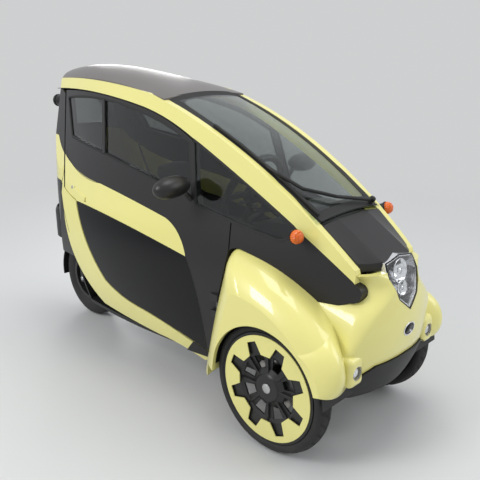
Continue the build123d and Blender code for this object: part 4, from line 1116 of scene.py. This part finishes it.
def pad(name, low, high, material, radius, bulge=0.0):
    """Cloth block of a seat."""
    return rounded_block(name, low, high, material, "body", radius, bulge)


def make_seats():
    """Two seats in line: sewn cushion and back, head pad on posts, shell, base and belt."""
    for name, front, rear, top, (x, z), lean, height, half in SEATS:
        tilt = Matrix.Rotation(-lean, 3, "Y")
        foot = Vector((x, 0, z))
        head_z = z + height - 0.128
        cushion = pad(f"seat_cushion_{name}", (rear, -half, CUSHION_FOOT_Z), (front, half, top), CLOTH,
                      0.028, 0.004)
        insert = pad(f"seat_cushion_insert_{name}", (rear + 0.05, -half * 0.6, top - 0.030),
                     (front - 0.03, half * 0.6, top + 0.004), CLOTH_LIGHT, 0.018)
        back = pad(f"seat_back_{name}", (x - 0.038, -half, z), (x + 0.034, half, z + height - 0.14), CLOTH,
                   0.028, 0.004)
        face = pad(f"seat_back_insert_{name}", (x + 0.006, -half * 0.6, z + 0.05),
                   (x + 0.040, half * 0.6, z + height - 0.17), CLOTH_LIGHT, 0.016)
        head = pad(f"seat_head_{name}", (x - 0.030, -0.095, head_z), (x + 0.030, 0.095, head_z + 0.124),
                   CLOTH, 0.026, 0.004)
        for piece in (back, face, head):
            leaned(piece, lean, foot)
        for piece in (back, face, head, cushion, insert):
            stuffed(piece)
            if piece in (insert, face):
                sewn(piece, INSERT_SEAMS)
        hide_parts(f"seat_{name}")

        shell = rounded_block(f"seat_shell_{name}", (x - 0.047, -half * 0.92, z - 0.02),
                              (x - 0.034, half * 0.92, z + height - 0.15), CABIN_TRIM, "body",
                              0.006)
        leaned(shell, lean, foot)
        base = rounded_block(f"seat_base_{name}", (rear + 0.02, -half * 0.9, 0.3952),
                             (front - 0.02, half * 0.9, 0.412), CABIN_TRIM, "body", 0.006)
        soften(base, 0.002)
        post = [(0.0, 0.0), (0.006, 0.0), (0.006, 0.060), (0.0, 0.060)]
        for side_name, y in (("right", -0.045), ("left", 0.045)):
            spot = tilt @ Vector((0, y, height - 0.165)) + Vector((x - 0.002, 0, z))
            lathe(f"head_post_{name}_{side_name}", spot, tilt @ Vector((0, 0, 1)), post, SOFT_BRIGHT,
                  "body", 16)
        belt = [tilt @ Vector((0.049, y, (height - 0.15) * share)) + foot for share, y in BELT_STOPS]
        sweep(f"seat_belt_{name}", with_up(belt, tilt @ Vector((1, 0, 0))), bar_section(0.044, 0.0009),
              RUBBER, "body")
        buckle = rounded_block(f"belt_buckle_{name}", (x + 0.040, -half - 0.004, z + 0.022),
                               (x + 0.062, -half + 0.024, z + 0.075), TRIM, "body", 0.006)
        soften(buckle, 0.001)


def hand_wheel():
    """Sewn grip, crowned centre pad and switch pods on the steering wheel."""
    joint = joints["hand_wheel_turn"]
    centre = Vector(joint["pos_m"])
    out = Vector(joint["axis"]).normalized()
    across = axes_from(out)[0]
    ring = [(HAND_WHEEL_RADIUS + a, b) for a, b in round_section(GRIP_RADIUS, 12)]

    def grip(angle, radius, height):
        swell = 1 + 0.10 * math.exp(-((math.sin(angle * 2) - 1) / 0.5) ** 2)
        stitch = 0.0006 * (math.sin(angle * 110) > 0.2) if radius < 0.152 else 0.0
        return HAND_WHEEL_RADIUS + (radius - HAND_WHEEL_RADIUS) * swell + stitch, height * swell

    lathe("wheel_grip", centre, out, ring, RUBBER, "hand_wheel", 180, grip)
    pad = [(0.0, 0.016), (0.030, 0.014), (0.050, 0.009), (0.058, 0.002), (0.056, -0.012), (0.0, -0.012)]
    lathe("wheel_centre_pad", centre, out, pad, CABIN_TRIM, "hand_wheel", 64)
    plate = [(0.0, 0.0166), (0.011, 0.0166), (0.013, 0.0152), (0.0, 0.0140)]
    lathe("wheel_badge_place", centre, out, plate, SOFT_BRIGHT, "hand_wheel", 40)
    for name, turn in (("left", 1), ("right", -1)):
        spot = centre + across * (0.088 * turn) + out * 0.003
        path = with_up((spot - across * 0.016, spot + across * 0.016), out)
        sweep(f"wheel_switches_{name}", path, bar_section(0.024, 0.006, 0.6), GLOSS_BLACK, "hand_wheel")


def dash_details():
    """Instrument hood and screen, vents, column levers and a row of buttons."""
    hood = rounded_block("instrument_hood", (0.655, -0.125, 0.846), (0.775, 0.125, 0.905), CABIN_TRIM,
                         "body", 0.022, 0.004)
    soften(hood, 0.002)
    screen = rounded_block("instrument_screen", (0.649, -0.095, 0.856), (0.657, 0.095, 0.896), GLOSS_BLACK,
                           "body", 0.003)
    soften(screen, 0.001)
    vent = [(0.0, -0.004), (0.026, -0.004), (0.027, 0.004), (0.031, 0.006), (0.034, 0.002), (0.034, -0.008),
            (0.0, -0.008)]
    lever = ((0.52, 0.04, 0.845), (0.515, 0.09, 0.862), (0.505, 0.135, 0.872))
    for side_name, side in SIDES.items():
        lathe(f"vent_ring_{side_name}", mirrored(VENT_PLACE, side), (-1, 0, 0.1), vent, SOFT_BRIGHT, "body",
              48)
        for step in range(4):
            z = 0.776 + 0.009 * step
            ends = ((0.5985, side * 0.166, z), (0.5985, side * 0.214, z))
            path = with_up(ends, Vector((-0.3, 0, 1)).normalized())
            sweep(f"vent_slat_{side_name}_{step}", path, bar_section(0.009, 0.0012), TRIM, "body")
        path = with_up([mirrored(place, side) for place in lever], (0, 0, 1))
        sweep(f"column_lever_{side_name}", path, round_section(0.006, 12), TRIM, "body",
              smooth=True)
    for step in range(5):
        y = -0.052 + 0.026 * step
        button = rounded_block(f"dash_button_{step}", (0.594, y - 0.010, 0.764), (0.603, y + 0.010, 0.776),
                               GLOSS_BLACK, "body", 0.003)
        soften(button, 0.0008)


# Floor, light and camera


def make_floor():
    """Pale floor that fades into the plain background with its distance from the car."""
    half = 60.0
    corners = [(-half, -half, 0), (half, -half, 0), (half, half, 0), (-half, half, 0)]
    sheet = bpy.data.meshes.new("Floor")
    sheet.from_pydata(corners, [], [(0, 1, 2, 3)])
    floor = bpy.data.objects.new("Floor", sheet)
    bpy.context.scene.collection.objects.link(floor)
    material, tree, shader = new_material("Pale floor", Base_Color=(0.60, 0.605, 0.60, 1), Roughness=0.55)
    plain = node(tree, "Emission", in_Color=(*BACKGROUND, 1))
    place = node(tree, "TexCoord")
    far = node(tree, "VectorMath", operation="LENGTH")
    fade = node(tree, "MapRange", interpolation_type="SMOOTHSTEP", in_From_Min=1.6, in_From_Max=5.5)
    path = node(tree, "LightPath")
    share = node(tree, "Math", operation="MULTIPLY")
    wire(tree, (place, "Object", far, 0), (far, "Value", fade, "Value"), (fade, "Result", share, 0),
         (path, "Is Camera Ray", share, 1))
    choose_shader(tree, share.outputs[0], shader, plain, "Material Output")
    sheet.materials.append(material)


def make_light():
    """Even hall light: a bright sky for the object, a plain pale one for the camera, and four panels."""
    world = bpy.data.worlds.new("Studio")
    bpy.context.scene.world = world
    world.use_nodes = True
    tree = world.node_tree
    back = tree.nodes["Background"]
    back.inputs["Color"].default_value = (0.95, 0.97, 1.0, 1)
    back.inputs["Strength"].default_value = SKY_STRENGTH
    seen = node(tree, "Background", in_Color=(*BACKGROUND, 1))
    path = node(tree, "LightPath")
    choose_shader(tree, path.outputs["Is Camera Ray"], back, seen, "World Output")
    for name, place, aim, size, power in LAMPS:
        data = bpy.data.lights.new(name, "AREA")
        data.size = size
        data.energy = power
        lamp = bpy.data.objects.new(name, data)
        lamp.location = place
        lamp.visible_camera = False
        lamp.rotation_mode = "QUATERNION"
        lamp.rotation_quaternion = (Vector(aim) - Vector(place)).to_track_quat("-Z", "Y")
        bpy.context.scene.collection.objects.link(lamp)


def make_camera():
    """Camera where the photograph was taken from."""
    data = bpy.data.cameras.new("Camera")
    data.lens = CAMERA_LENS
    data.sensor_width = 36.0
    camera = bpy.data.objects.new("Camera", data)
    bpy.context.scene.collection.objects.link(camera)
    ahead = Vector((math.cos(CAMERA_HEADING) * math.cos(CAMERA_DOWN),
                    math.sin(CAMERA_HEADING) * math.cos(CAMERA_DOWN), -math.sin(CAMERA_DOWN)))
    level = Vector((math.sin(CAMERA_HEADING), -math.cos(CAMERA_HEADING), 0))
    upright = level.cross(ahead)
    right = level * math.cos(CAMERA_TILT) + upright * math.sin(CAMERA_TILT)
    up = upright * math.cos(CAMERA_TILT) - level * math.sin(CAMERA_TILT)
    turn = Matrix((right, up, -ahead)).transposed()
    camera.matrix_world = Matrix.Translation(CAMERA_PLACE) @ turn.to_4x4()
    bpy.context.scene.camera = camera


bpy.context.scene.view_settings.view_transform = "Standard"
make_camera()
make_floor()
make_light()
window_trim()
screen_trim()
make_tyres()
wheel_details()
headlamp_inside()
fog_lamp_inside()
rear_lamp_lenses()
rear_wheel_details()
arch_liners()
headlamp_frame()
badge_place()
shut_lines()
tail_joint()
sill_covers()
door_furniture()
turn_lenses()
make_mirrors()
wiper_details()
hand_wheel()
dash_details()
make_seats()
